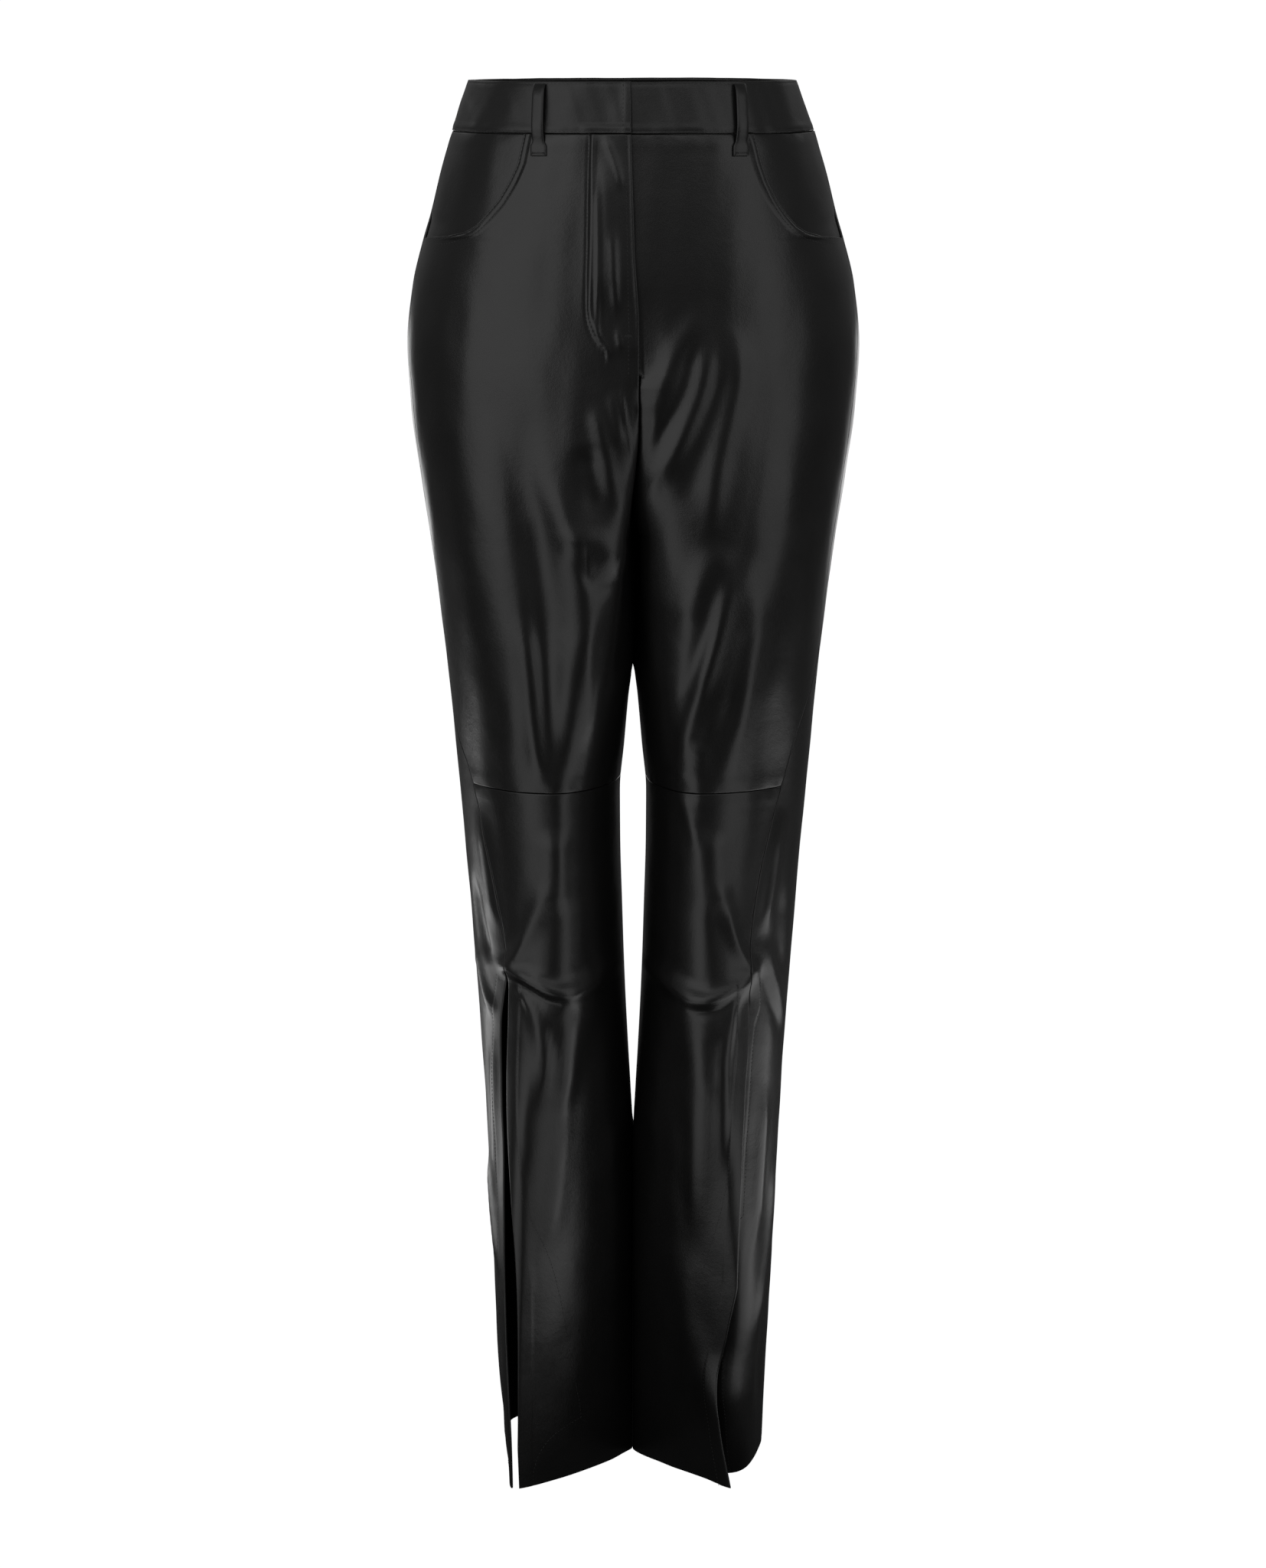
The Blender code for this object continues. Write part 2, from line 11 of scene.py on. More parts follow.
import bpy
import numpy as np
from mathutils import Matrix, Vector


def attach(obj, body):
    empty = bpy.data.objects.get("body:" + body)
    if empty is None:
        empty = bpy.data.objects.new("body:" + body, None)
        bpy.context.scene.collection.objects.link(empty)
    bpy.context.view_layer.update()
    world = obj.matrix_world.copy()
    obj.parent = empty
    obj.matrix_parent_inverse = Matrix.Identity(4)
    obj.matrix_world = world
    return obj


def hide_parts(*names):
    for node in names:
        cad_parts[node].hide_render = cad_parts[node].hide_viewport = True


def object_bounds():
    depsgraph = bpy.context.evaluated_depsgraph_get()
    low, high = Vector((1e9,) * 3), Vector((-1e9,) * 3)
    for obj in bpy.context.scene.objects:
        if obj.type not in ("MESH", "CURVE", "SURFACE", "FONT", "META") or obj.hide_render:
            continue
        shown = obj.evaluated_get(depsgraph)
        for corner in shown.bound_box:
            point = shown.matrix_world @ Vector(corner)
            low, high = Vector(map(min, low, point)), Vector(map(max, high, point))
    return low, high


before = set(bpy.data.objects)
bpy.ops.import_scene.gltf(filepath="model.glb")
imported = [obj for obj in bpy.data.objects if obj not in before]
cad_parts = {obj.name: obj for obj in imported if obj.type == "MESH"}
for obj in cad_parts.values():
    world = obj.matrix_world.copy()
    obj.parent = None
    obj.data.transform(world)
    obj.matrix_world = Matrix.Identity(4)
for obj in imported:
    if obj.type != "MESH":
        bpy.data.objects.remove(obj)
cad_box = [list(corner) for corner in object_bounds()]
print("nodes:", sorted(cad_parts))
print("CAD box, metres:", [[round(v, 4) for v in corner] for corner in cad_box])

# %% A helper that puts an object in the scene
def link(name, data):
    thing = bpy.data.objects.new(name, data)
    bpy.context.scene.collection.objects.link(thing)
    return thing


# %% [markdown]
# ## Camera, floor and backdrop
# The camera stands 3.1 m in front, a little above the waist, and looks down by eleven degrees.
# Floor and backdrop are one plain pale sweep. They glow a little themselves, so that they stay
# evenly pale, and take a faint shadow; the leather doesn't mirror them, because in a studio black
# flags stand around gloss to keep the pale room out of it.

# %% Camera
FRAME_HEIGHT, FOCAL_PIXELS, SENSOR = 2048, 5309, 36.0
CAMERA_PLACE, LOOKS_DOWN = (0, -3.1, 0.05), 10.76          # metres and degrees
camera_data = bpy.data.cameras.new("camera")
camera_data.sensor_width = SENSOR
camera_data.lens = FOCAL_PIXELS / FRAME_HEIGHT * SENSOR
camera = link("camera", camera_data)
camera.location = CAMERA_PLACE
camera.rotation_euler = (math.radians(90 - LOOKS_DOWN), 0, 0)
bpy.context.scene.camera = camera
bpy.context.scene.view_settings.view_transform = "Standard"
print("lens, mm:", round(camera_data.lens, 2))

# %% A helper that makes a mesh object from arrays
def new_object(name, points, faces, materials, kinds=None):
    """A smooth mesh object. kinds gives each face the number of its material."""
    mesh = bpy.data.meshes.new(name)
    mesh.from_pydata(np.asarray(points, float).reshape(-1, 3).tolist(), [],
                     [list(map(int, face)) for face in faces])
    for material in materials:
        mesh.materials.append(material)
    if kinds is not None:
        mesh.polygons.foreach_set("material_index", np.asarray(kinds, np.int32))
    mesh.shade_smooth()
    mesh.update()
    return link(name, mesh)


# %% Helpers that add nodes and wire them
def fill(tree, node, inputs):
    """Gives a node its inputs: a value is set, and another node's output is wired in."""
    for key, value in inputs.items():
        if isinstance(value, bpy.types.NodeSocket):
            tree.links.new(value, node.inputs[key])
        else:
            node.inputs[key].default_value = value


def add_node(tree, kind, inputs=(), **settings):
    made = tree.nodes.new(kind)
    for key, value in settings.items():
        setattr(made, key, value)
    fill(tree, made, dict(inputs))
    return made


class Shader:
    """A node material under construction. Its textures lie on Object coordinates."""

    def __init__(self, name):
        self.material = bpy.data.materials.new(name)
        self.material.use_nodes = True
        self.tree = self.material.node_tree

    def node(self, kind, inputs=(), **settings):
        return add_node(self.tree, "ShaderNode" + kind, inputs, **settings)

    def texture(self, kind, output="Fac", feature=None, **inputs):
        place = self.node("TexCoord").outputs["Object"]
        settings = {"feature": feature} if feature else {}
        return self.node("Tex" + kind, {"Vector": place, **inputs}, **settings).outputs[output]

    def bump(self, height, depth, strength, **more):
        return self.node("Bump", {"Height": height, "Distance": depth, "Strength": strength,
                                  **more}).outputs[0]

    def tone(self, amount, dark, light, tint=(1, 1, 1)):
        """A colour between two shades of grey."""
        ramp = self.node("ValToRGB", {"Fac": amount})
        for stop, shade in zip(ramp.color_ramp.elements, (dark, light)):
            stop.color = (*(shade * k for k in tint), 1)
        return ramp.outputs[0]

    def finish(self, **inputs):
        """Fills the surface, with an underscore for each space in a socket's name."""
        sockets = {name.replace("_", " "): value for name, value in inputs.items()}
        fill(self.tree, self.tree.nodes["Principled BSDF"], sockets)
        return self.material


# %% Floor and backdrop in one sweep
SWEEP = [(-9.0, 0.0), (3.2, 0.0), (4.2, 0.25), (5.0, 1.0), (5.3, 2.2), (5.3, 9.0)]   # (y, height)
HEM_CLEAR = 0.0006                 # gap between the lowest hem and the floor
lowest = cad_box[0][2]
sweep_points = [(x, y, lowest - HEM_CLEAR + z) for y, z in SWEEP for x in (-14.0, 14.0)]
sweep_faces = [(2 * i, 2 * i + 1, 2 * i + 3, 2 * i + 2) for i in range(len(SWEEP) - 1)]
pale = Shader("pale_sweep").finish(Base_Color=(0.10, 0.10, 0.10, 1), Roughness=1.0, Specular_IOR_Level=0.0,
                                   Emission_Color=(1, 1, 1, 1), Emission_Strength=1.0)
sweep = new_object("pale_sweep", sweep_points, sweep_faces, [pale])
sweep.visible_glossy = False
sweep.visible_diffuse = False
print("sweep stands at z", round(lowest, 4))

# %% [markdown]
# ## The form
# A level slice through the body is a rounded oval down to the crotch, and two rounded ovals below
# it. On each half, share runs from 0 at the centre front, past the side at one half, to 1 at the
# centre back; below the crotch it starts and ends at the inseam. Short lists of heights and values
# say how the slices change, so the form could be re-cut for another size.

# %% Smooth curves through a few knots
RIGHT, LEFT = -1, 1                # the wearer's right is at -X
CROTCH, KNEE_SEAM, HEM, SLIT_TOP = -0.335, -0.530, -1.080, -0.672
SEAM, EDGE = 0.0003, 0.00035       # gap between two pieces, and its half as a share


def ease(t):
    """Rises smoothly from 0 to 1."""
    t = np.clip(t, 0, 1)
    return t * t * (3 - 2 * t)


def arrays(share, z):
    return np.broadcast_arrays(np.asarray(share, float), np.asarray(z, float))


def curve(*knots):
    """A function of height that runs smoothly through (z, value) knots and never overshoots them."""
    heights, values = np.array(sorted(knots), float).T
    steps = np.diff(values) / np.diff(heights)
    before, after = steps[:-1], steps[1:]
    same_way = before * after > 0
    mean = 2 * before * after / np.where(same_way, before + after, 1)
    slopes = np.concatenate([steps[:1], np.where(same_way, mean, 0), steps[-1:]])

    def value(z):
        z = np.clip(z, heights[0], heights[-1])
        i = np.clip(np.searchsorted(heights, z) - 1, 0, len(heights) - 2)
        h = heights[i + 1] - heights[i]
        t = (z - heights[i]) / h
        return ((1 + 2 * t) * (1 - t) ** 2 * values[i] + t * (1 - t) ** 2 * h * slopes[i]
                + t * t * (3 - 2 * t) * values[i + 1] - t * t * (1 - t) * h * slopes[i + 1])
    return value


def line(*knots):
    """A function of height with straight stretches between (z, value) knots."""
    heights, values = np.array(sorted(knots), float).T
    return lambda z: np.interp(z, heights, values)


# %% The slices' sizes, and where a leg's front and back stand out furthest
half_width = curve((0, .1233), (-.037, .1360), (-.066, .1450), (-.101, .1540), (-.118, .1590),
                   (-.152, .1673), (-.196, .1716), (-.240, .1693), (-.292, .1626), (-.345, .1546),
                   (-.399, .1474), (-.452, .1417), (-.525, .1351), (-.597, .1291), (-.671, .1237),
                   (-.745, .1188), (-.820, .1148), (-.895, .1117), (-.971, .1082), (-1.08, .1039))
inner_edge = curve((-.335, .00015), (-.436, .00015), (-.470, .0036), (-.506, .0068),
                   (-.543, .0101), (-.579, .0099), (-.634, .0084), (-.689, .0066),
                   (-.745, .0039), (-.782, .0018), (-.817, .00018), (-1.08, .00015))
DEPTH_HEIGHTS = (0, -.05, -.10, -.15, -.20, -.25, -.30, -.345, -.44, -.54, -.67, -.80, -.95, HEM)
LEG_HEIGHTS = (CROTCH, -.440, -.540, -.670, -.800, -.950, HEM)


def at_heights(heights, *values, kind=curve):
    """A curve, or another kind of function of height, with these values at these heights."""
    return kind(*zip(heights, values))


def down_leg(*values):
    return at_heights(LEG_HEIGHTS, *values)


front_depth = at_heights(DEPTH_HEIGHTS, -.094, -.101, -.106, -.109, -.110, -.109, -.107, -.104,
                         -.098, -.088, -.085, -.086, -.089, -.094)
back_depth = at_heights(DEPTH_HEIGHTS, .094, .103, .114, .122, .127, .126, .120, .112, .100, .082,
                        .080, .082, .083, .082)
front_crest_right = down_leg(.50, .47, .40, .47, .71, .80, .87)
front_crest_left = down_leg(.50, .45, .34, .46, .60, .76, .87)
back_crest = down_leg(.50, .50, .50, .52, .54, .58, .62)
inseam_y = down_leg(.012, .008, 0, 0, 0, -.002, -.003)
side_y = down_leg(0, 0, 0, 0, .01, .02, .03)
power_in_front_right = down_leg(4.8, 3.2, 1.75, 1.7, 1.5, 1.3, 1.2)
power_in_front_left = down_leg(2.5, 2.3, 1.85, 1.75, 1.6, 1.4, 1.2)
power_out_front = down_leg(2.2, 2.0, 1.85, 1.8, 2.0, 2.5, 3.0)
power_out_back = down_leg(2.4, 2.3, 2.2, 2.3, 2.5, 2.9, 3.3)
power_in_back = down_leg(5.0, 3.6, 2.3, 2.0, 1.9, 1.8, 1.7)
inner_crowding = down_leg(1, .8, .3, 0, 0, 0, 0)
lap_edge = line((0, -.0013), (-.0375, -.0008), (-.125, .0018), (-.168, .0047), (-.2125, .0048),
                (-.2215, .0046), (-.25, .0032), (-.28, .0012), (-.305, 0), (-.335, 0))
print("hips", round(float(half_width(-.196)) * 2, 4), "m wide")

# %% The hips and one leg
RISE_CURVE, RISE_POWER = 0.095, 2.2      # height and roundness of the curve above the crotch
RISE_SHARE, LAP_FADE = 0.07, 0.12        # shares over which that curve and the fly's shift fade
CORNER = 0.0475                    # share at which a thigh's front turns in towards the other thigh
CORNER_POWER, CORNER_FADE = 1.1, .15     # how that corner closes towards the fly, and dies out sideways
THIGH_LOW, THIGH_HIGH = -0.47, -0.13     # between these heights the hips turn into the thighs
EVEN_TURN = .56                    # how evenly the share runs round the hips; 1 is quite evenly
FRONT_POWER, BACK_POWER = 2.35, 2.45     # 2 makes a slice of the hips an ellipse, and more squares it
CROWD_POWER = 8                    # how strongly the share crowds on a thigh's front
LAST_SHARE, SEAM_FLAT = .9955, .02       # last share with a normal of its own, and the inseams' flat


def reach(angle, power):
    """Radius of a rounded square at an angle: power 2 is a circle."""
    return (np.abs(np.cos(angle)) ** power + np.abs(np.sin(angle)) ** power) ** (-1 / power)


def torso(share, z):
    """Places on one half of the hips and waist, as x and y."""
    to_side = 1 - np.abs(2 * share - 1)
    angle = math.pi / 2 * (EVEN_TURN * to_side + (1 - EVEN_TURN) * to_side ** 2)
    front = share < .5
    r = reach(angle, np.where(front, FRONT_POWER, BACK_POWER))
    depth = np.where(front, front_depth(z), back_depth(z))
    return half_width(z) * r * np.sin(angle), depth * r * np.cos(angle)


def leg(side, share, z):
    """Places round one leg, in four quarters that meet at its crests, inseam and side."""
    front, inside = share < .5, (share < .25) | (share >= .75)
    inner, outer = inner_edge(z), half_width(z)
    front_crest = np.where(side == RIGHT, front_crest_right(z), front_crest_left(z))
    crest = inner + (outer - inner) * np.where(front, front_crest, back_crest(z))
    middle = np.where(inside, inseam_y(z), side_y(z))
    power_in_front = np.where(side == RIGHT, power_in_front_right(z), power_in_front_left(z))
    power = np.where(front, np.where(inside, power_in_front, power_out_front(z)),
                     np.where(inside, power_in_back(z), power_out_back(z)))
    turn = np.abs(np.where(front, share, 1 - share) - .25) / .25
    crowd = np.where(inside, inner_crowding(z), 0) / 2     # most of the share lies on the leg's front
    angle = (turn * (1 - crowd) + turn ** CROWD_POWER * crowd) * math.pi / 2
    r = reach(angle, power)
    depth = np.where(front, front_depth(z), back_depth(z))
    return (crest + (np.where(inside, inner, outer) - crest) * r * np.sin(angle),
            middle + (depth - middle) * r * np.cos(angle))


# %% The whole form
def fronts_and_rise(side, share, z, up, under, thigh):
    """The inner half of the front. Where the thighs touch, it turns in and runs back to the seam."""
    corner, closed = CORNER * (1 - up) ** CORNER_POWER + 1e-6, ease(up)
    past = np.clip((share - corner) / (.25 - corner), 0, 1)
    before = np.clip(share / corner, 0, 1)
    corner_x, corner_y = leg(side, np.full(share.shape, CORNER), z)
    x, y = leg(side, CORNER + (.25 - CORNER) * past, z)
    torso_x, torso_y = torso(.25 * past, z)
    x = x + (torso_x - x) * thigh - corner_x * (1 - thigh) * closed * (1 - ease(past / CORNER_FADE))
    y = y + (torso_y - y) * thigh
    wall_x, wall_y = leg(side, CORNER * before, z)
    meeting_y = corner_y + (front_depth(z) - corner_y) * thigh
    on_wall = share < corner
    return (np.where(on_wall, wall_x * (1 - thigh) * (1 - closed), x),
            np.where(on_wall, meeting_y + (wall_y - corner_y) * (1 - under), y))


def form(side, share, z):
    """Points of the smooth form, before any fold. A share below 0 goes on round the other half."""
    share, z = arrays(share, z)
    side = np.where(share < 0, -side, side)
    share = np.abs(share)
    x, y = leg(side, share, z)
    torso_x, torso_y = torso(share, z)
    up = np.clip((z - CROTCH) / RISE_CURVE, 0, 1)
    under = np.sqrt(1 - (1 - up) ** RISE_POWER)
    thigh = ease((z - THIGH_LOW) / (THIGH_HIGH - THIGH_LOW))
    turn = np.where(share > .5, under + (thigh - under) * ease((1 - share) / RISE_SHARE), thigh)
    x, y = x + (torso_x - x) * turn, y + (torso_y - y) * turn
    inner_x, inner_y = fronts_and_rise(side, share, z, up, under, thigh)
    x, y = np.where(share < .25, inner_x, x), np.where(share < .25, inner_y, y)
    shift = np.where(z > CROTCH, lap_edge(z) * ease(1 - share / LAP_FADE), 0)
    return np.stack([side * np.maximum(x, SEAM / 2) + shift, y, z], -1)


print("front of the hips at y", round(float(form(LEFT, 0.0, -.2)[1]), 4))

# %% The form's normals, and finding places on it
def unit(v):
    return v / np.maximum(np.linalg.norm(v, axis=-1, keepdims=True), 1e-12)


def outward(side, share, z, shape=form):
    """Normals of the form. Below the crotch, the two legs' inseams face each other squarely."""
    share, z = arrays(share, z)
    du, dz = .004, .002
    inside = np.where(share > -EDGE, np.clip(share, 1 - LAST_SHARE, LAST_SHARE), share)
    across = shape(side, inside + du, z) - shape(side, inside - du, z)
    down = shape(side, inside, np.maximum(z - dz, HEM)) - shape(side, inside, np.minimum(z + dz, 0))
    half = np.asarray(side)[..., None]
    at_seam = 1 - ease(np.minimum(share, 1 - share) / SEAM_FLAT)
    flat = (at_seam * (z < CROTCH + .001))[..., None]
    return unit(np.cross(down, across) * half * (1 - flat) * 1e6 + np.array([-1, 0, 0]) * half * flat)


def share_at(side, x, z):
    """The share of the place on the front at height z whose distance across is x."""
    steps = np.linspace(0, .5, 251)
    found = [np.interp(side * b, side * form(side, steps, c)[:, 0], steps)
             for b, c in zip(np.atleast_1d(x), np.atleast_1d(z))]
    return np.array(found)


print("share 50 mm out, 0.4 m down:", round(float(share_at(LEFT, .05, -.4)[0]), 3))

# %% [markdown]
# ## Folds
# Leather folds softly: a fold is a low ridge or a shallow trough, a centimetre or two across, that
# starts at a seam or a tight spot and dies out. One could sculpt them or drop the cloth on a body by
# simulation. Here each fold is drawn as a line through a few places, seen from the front or the
# back, because folds that start at the crotch, the knee and the slit have to lie where they pull.

# %% The front folds in millimetres: half-width (or one for each end), height and places
def metres(folds, across=1):
    """The folds in metres. A place is (x, z), and across turns another first number into metres."""
    return {side: [(np.array(wide) / 1000, height / 1000,
                    [(x / 1000 * across, z / 1000) for x, z in places]) for wide, height, places in rows]
            for side, rows in folds.items()}


FRONT_FOLDS = metres({RIGHT: [
    # a broad flat place down the thigh, and the long ridge beside it
    ((19, 11), -5, [(-84, -205), (-80, -275), (-72, -332), (-66, -390), (-64, -437), (-63, -484),
        (-62, -528)]),
    (6.5, 2.6, [(-83, -385), (-78, -425), (-75, -465), (-72, -500), (-68, -530)]),
    (14, 3.4, [(-72, -250), (-66, -290), (-50, -325), (-40, -365), (-38, -400), (-44, -440),
        (-50, -480), (-54, -528)]),
    (8, 1.4, [(-30, -380), (-34, -420), (-32, -460), (-34, -500)]),
    # drag lines that fan out of the crotch
    (12, 2.6, [(-52, -350), (-36, -334), (-20, -344), (-6, -368)]),
    (11, -1.4, [(-40, -368), (-26, -364), (-16, -380)]),
    (10, -2.2, [(-34, -262), (-30, -290), (-26, -322)]),
    (6.5, 1.8, [(-30, -232), (-24, -255), (-19, -285), (-14, -312)]),
    (5, 1, [(-16, -222), (-13, -245), (-10, -270)]),
    # from the knee seam down to the top of the slit
    (11, 2.6, [(-60, -555), (-59.5, -590), (-60, -630)]),
    ((7, 3.6), 2.4, [(-66, -592), (-69, -613), (-77, -633), (-86, -653), (-94.5, -666.5),
        (-103, -678)]),
    # the bow that hangs between the slit's top and the inner leg
    ((5, 11), 4.8, [(-108, -665), (-97.5, -669), (-84, -673.5), (-70, -681), (-59, -685), (-46, -684),
        (-30, -679), (-14, -672), (4, -664)]),
    ((3.4, 6), -2.6, [(-95.5, -676), (-79, -684), (-64, -691), (-52, -693.5)]),
    # and the streaks that run on down the shin
    ((23, 6), 4.6, [(-44, -672), (-46, -692), (-50, -712), (-52, -735), (-53, -760), (-54, -790)]),
    ((6, 8), 1.6, [(-52, -752), (-55, -800), (-60, -850), (-66, -900)]),
    ((3.5, 7), 2.4, [(-96, -672.5), (-82, -689), (-73.5, -707), (-69, -728), (-68, -751), (-69, -790)]),
    (6, -1.6, [(-62, -700), (-60, -735), (-60, -775)]),
], LEFT: [
    # folds that run down and in towards the crotch
    (8.1, 1.7, [(62, -156), (40, -182), (26, -206), (15, -240), (10, -275)]),
    (7, 2, [(63, -172), (55, -195), (52, -220), (41, -249), (29, -272), (15, -294), (8, -312)]),
    (6.1, -1.3, [(52, -180), (42, -206), (36, -228), (24, -252), (13, -274)]),
    (8.4, 2.2, [(62, -168), (75, -191), (77, -215), (71, -243), (64, -279), (58, -322), (58, -348)]),
    (9.5, -1.4, [(61, -200), (61, -228), (52, -262), (42, -292), (36, -325)]),
    (11.5, 1.9, [(68, -335), (57, -356), (43, -384), (34, -412)]),
    ((8.1, 5.7), 2.2, [(73, -350), (70, -374), (61, -410), (51, -447), (40, -488), (34, -512)]),
    (6.8, -1.2, [(60, -385), (50, -418), (41, -450), (32, -482)]),
    (11.5, 1.7, [(54, -488), (43, -504), (36, -522)]),
    (9.5, 1.7, [(86, -340), (80, -368), (70, -400), (60, -430), (49, -460)]),
    (6.5, -1.3, [(91, -385), (83, -422), (75, -458), (66, -495)]),
    (9.5, 1.9, [(90, -350), (91, -390), (87, -425), (81, -471), (72, -508), (72, -530)]),
    # from the knee seam down to the top of the slit
    (11, 2.6, [(57, -555), (59, -590), (59, -630)]),
    ((7, 3.4), 2.4, [(64, -595), (67, -609), (73, -629), (80, -650), (88.5, -666), (97, -680)]),
    (5, 1.2, [(36, -530), (44, -552), (50, -575)]),
    # the bow that hangs between the slit's top and the inner leg
    ((5, 9.5), 4.5, [(104, -664), (93, -670.5), (80, -683), (64, -690), (51, -691), (35, -685),
        (22, -679), (10, -673), (-6, -664)]),
    ((3.4, 6), -2.4, [(90, -677), (74, -690), (59, -699), (44, -697)]),
    # and the streaks that run on down the shin
    ((20, 6), 4.2, [(40, -676), (44, -694), (49, -712), (52, -735), (52, -770), (50, -850),
        (47, -900)]),
    ((3.5, 7), 2.4, [(91.5, -672.5), (78, -693), (74, -712), (70, -738), (70, -765), (69, -800),
        (68, -840)]),
    (6, -1.1, [(62, -712), (61, -735), (61, -765)]),
    (11, 1.8, [(44, -880), (42, -930), (48, -970), (58, -1005), (70, -1040)]),
    # the left front panel's corner kicks forward at the hem
    (16, 5.8, [(66, -970), (74, -1030), (80, -1085), (83, -1170)]),
]})
print([len(FRONT_FOLDS[side]) for side in (RIGHT, LEFT)], "folds in front")

# %% The back folds
BACK_FOLDS = metres({RIGHT: [
    # drag lines under the seat, and creases behind the knees
    (13, 2.4, [(-8, -312), (-36, -346), (-74, -364), (-114, -360)]),
    (9, -1.8, [(-12, -342), (-40, -372), (-78, -386)]),
    (11, 1.5, [(-34, -402), (-66, -412), (-100, -398)]),
    (12, 1.8, [(-26, -496), (-58, -520), (-104, -522)]),
    (9, -1.8, [(-24, -524), (-56, -548), (-98, -554)]),
    (11, 1.7, [(-44, -574), (-76, -584), (-108, -570)]),
    (13, 1.8, [(-74, -600), (-64, -700), (-68, -800), (-76, -900)]),
], LEFT: [
    # drag lines under the seat, and creases behind the knees
    (13, 2.2, [(10, -320), (40, -344), (80, -354), (118, -344)]),
    (9, -1.6, [(18, -352), (50, -370), (88, -374)]),
    (11, 1.5, [(22, -388), (56, -404), (90, -408)]),
    (12, 1.8, [(30, -508), (66, -520), (106, -508)]),
    (9, -1.6, [(20, -530), (58, -544), (102, -534)]),
    (11, 1.8, [(30, -566), (64, -570), (104, -552)]),
    (13, 1.8, [(78, -620), (70, -720), (66, -830), (76, -930)]),
]})
print([len(BACK_FOLDS[side]) for side in (RIGHT, LEFT)], "folds behind")

# %% Heights of the folds at any place
FOLD_END = .28                     # part of a fold's length over which each end fades


def smooth_path(places, count=41):
    """Places along a smooth line through the given ones (Catmull-Rom)."""
    p = np.asarray(places, float)
    p = np.vstack([2 * p[0] - p[1], p, 2 * p[-1] - p[-2]])
    t = np.linspace(0, len(p) - 3, count)
    i = np.minimum(t.astype(int), len(p) - 4)
    t = (t - i)[:, None]
    a, b, c, d = p[i], p[i + 1], p[i + 2], p[i + 3]
    return .5 * (2 * b + (c - a) * t + (2 * a - 5 * b + 4 * c - d) * t * t
                 + (3 * b - a - 3 * c + d) * t ** 3)


def from_steps(here, path):
    """Distance of each point from each step of a path, and how far along the step it is nearest."""
    step = np.diff(path, axis=0)
    gap = here[..., None, :] - path[:-1]
    t = np.clip((gap * step).sum(-1) / np.maximum((step * step).sum(-1), 1e-16), 0, 1)
    return np.linalg.norm(gap - t[..., None] * step, axis=-1), t


def fold_height(folds, x, z):
    """Height of all the folds at places (x, z)."""
    total = np.zeros(np.broadcast(x, z).shape)
    here = np.stack(np.broadcast_arrays(x, z), -1)
    for half_wide, height, places in folds:
        path = smooth_path(places)
        first_wide, last_wide = np.broadcast_to(half_wide, 2)
        margin = 3 * max(first_wide, last_wide)
        low, high = path.min(0) - margin, path.max(0) + margin
        near = ((here > low) & (here < high)).all(-1)
        away, t = from_steps(here[near], path)
        nearest = away.argmin(1)
        pick = np.arange(len(nearest)), nearest
        along = (nearest + t[pick]) / (len(path) - 1)
        fade = ease(np.minimum(along, 1 - along) / FOLD_END)
        wide = first_wide + (last_wide - first_wide) * along
        total[near] += height * fade * np.exp(-(away[pick] / wide) ** 2)
    return total


# %% Unevenness in two sizes, which breaks up the long highlights
def wave_field(seed, count, shortest, longest):
    """A smooth random height, from -1 to 1, made of waves that are stretched upright."""
    waves = np.random.default_rng(seed)
    found = [(waves.normal(size=3) / waves.uniform(shortest, longest), waves.uniform(0, 6.28))
             for _ in range(count)]

    def value(points):
        return sum(np.sin(points @ (direction * np.array([1, 1, .45])) + phase)
                   for direction, phase in found) / count
    return value


unevenness, ripples = wave_field(7, 14, .035, .12), wave_field(23, 20, .0050, .0130)
UNEVEN, RIPPLE = .0016, .0009
SIDE_FADE = .03                    # share over which the folds die out at the side


def relief(side, share, z, base):
    """Height of the folds above the form."""
    x = base[..., 0]
    front = fold_height(FRONT_FOLDS[side], x, z) * ease((.5 - share) / SIDE_FADE)
    back = fold_height(BACK_FOLDS[side], x, z) * ease((share - .5) / SIDE_FADE)
    return front + back + UNEVEN * unevenness(base) + RIPPLE * ripples(base)


print("highest fold, metres:", max(fold[1] for side in (RIGHT, LEFT) for fold in FRONT_FOLDS[side]))

# %% Where the inner legs touch, they press into each other's folds
PRESS_DEPTH, PRESS_LENGTH, PRESS_REACH = .0018, .06, .016
TOUCH_TOP, TOUCH_SHARE, TOUCH_FADE = -.235, .012, .024   # they touch below this, up to this share
PRESS_TOP, LEGS_PART, LEGS_MEET = -.215, -.452, -.800    # heights between which the legs touch


def touching(share, z):
    """1 where the two halves lie against each other, so no fold may push them apart."""
    near_seam = 1 - ease((np.minimum(share, 1 - share) - TOUCH_SHARE) / TOUCH_FADE)
    return ease((TOUCH_TOP - z) / .02) * near_seam


def pressed(points):
    """Moves places beside the middle plane to and fro together, so nobody sees straight through."""
    x, y, z = points[..., 0], points[..., 1], points[..., 2]
    meet = ease((z - LEGS_PART) / .016) + ease((LEGS_MEET - z) / .018)
    touch = ease((PRESS_TOP - z) / .05) * meet
    bend = np.sin(y / PRESS_LENGTH * 2 * math.pi) * np.exp(-(x / PRESS_REACH) ** 2)
    moved = points.copy()
    moved[..., 0] += PRESS_DEPTH * touch * bend
    return moved


# %% [markdown]
# ## Leather, thread and the cloth behind it
# Smooth garment leather is nearly black, with a soft gloss: its grain is a net of tiny pebbles under
# a millimetre across, and handling leaves it a little more polished here and there. An image of
# hide wrapped on a UV map could give that. A node material on Object coordinates is used instead,
# since the grain then has its real size on every piece and runs on across the seams.

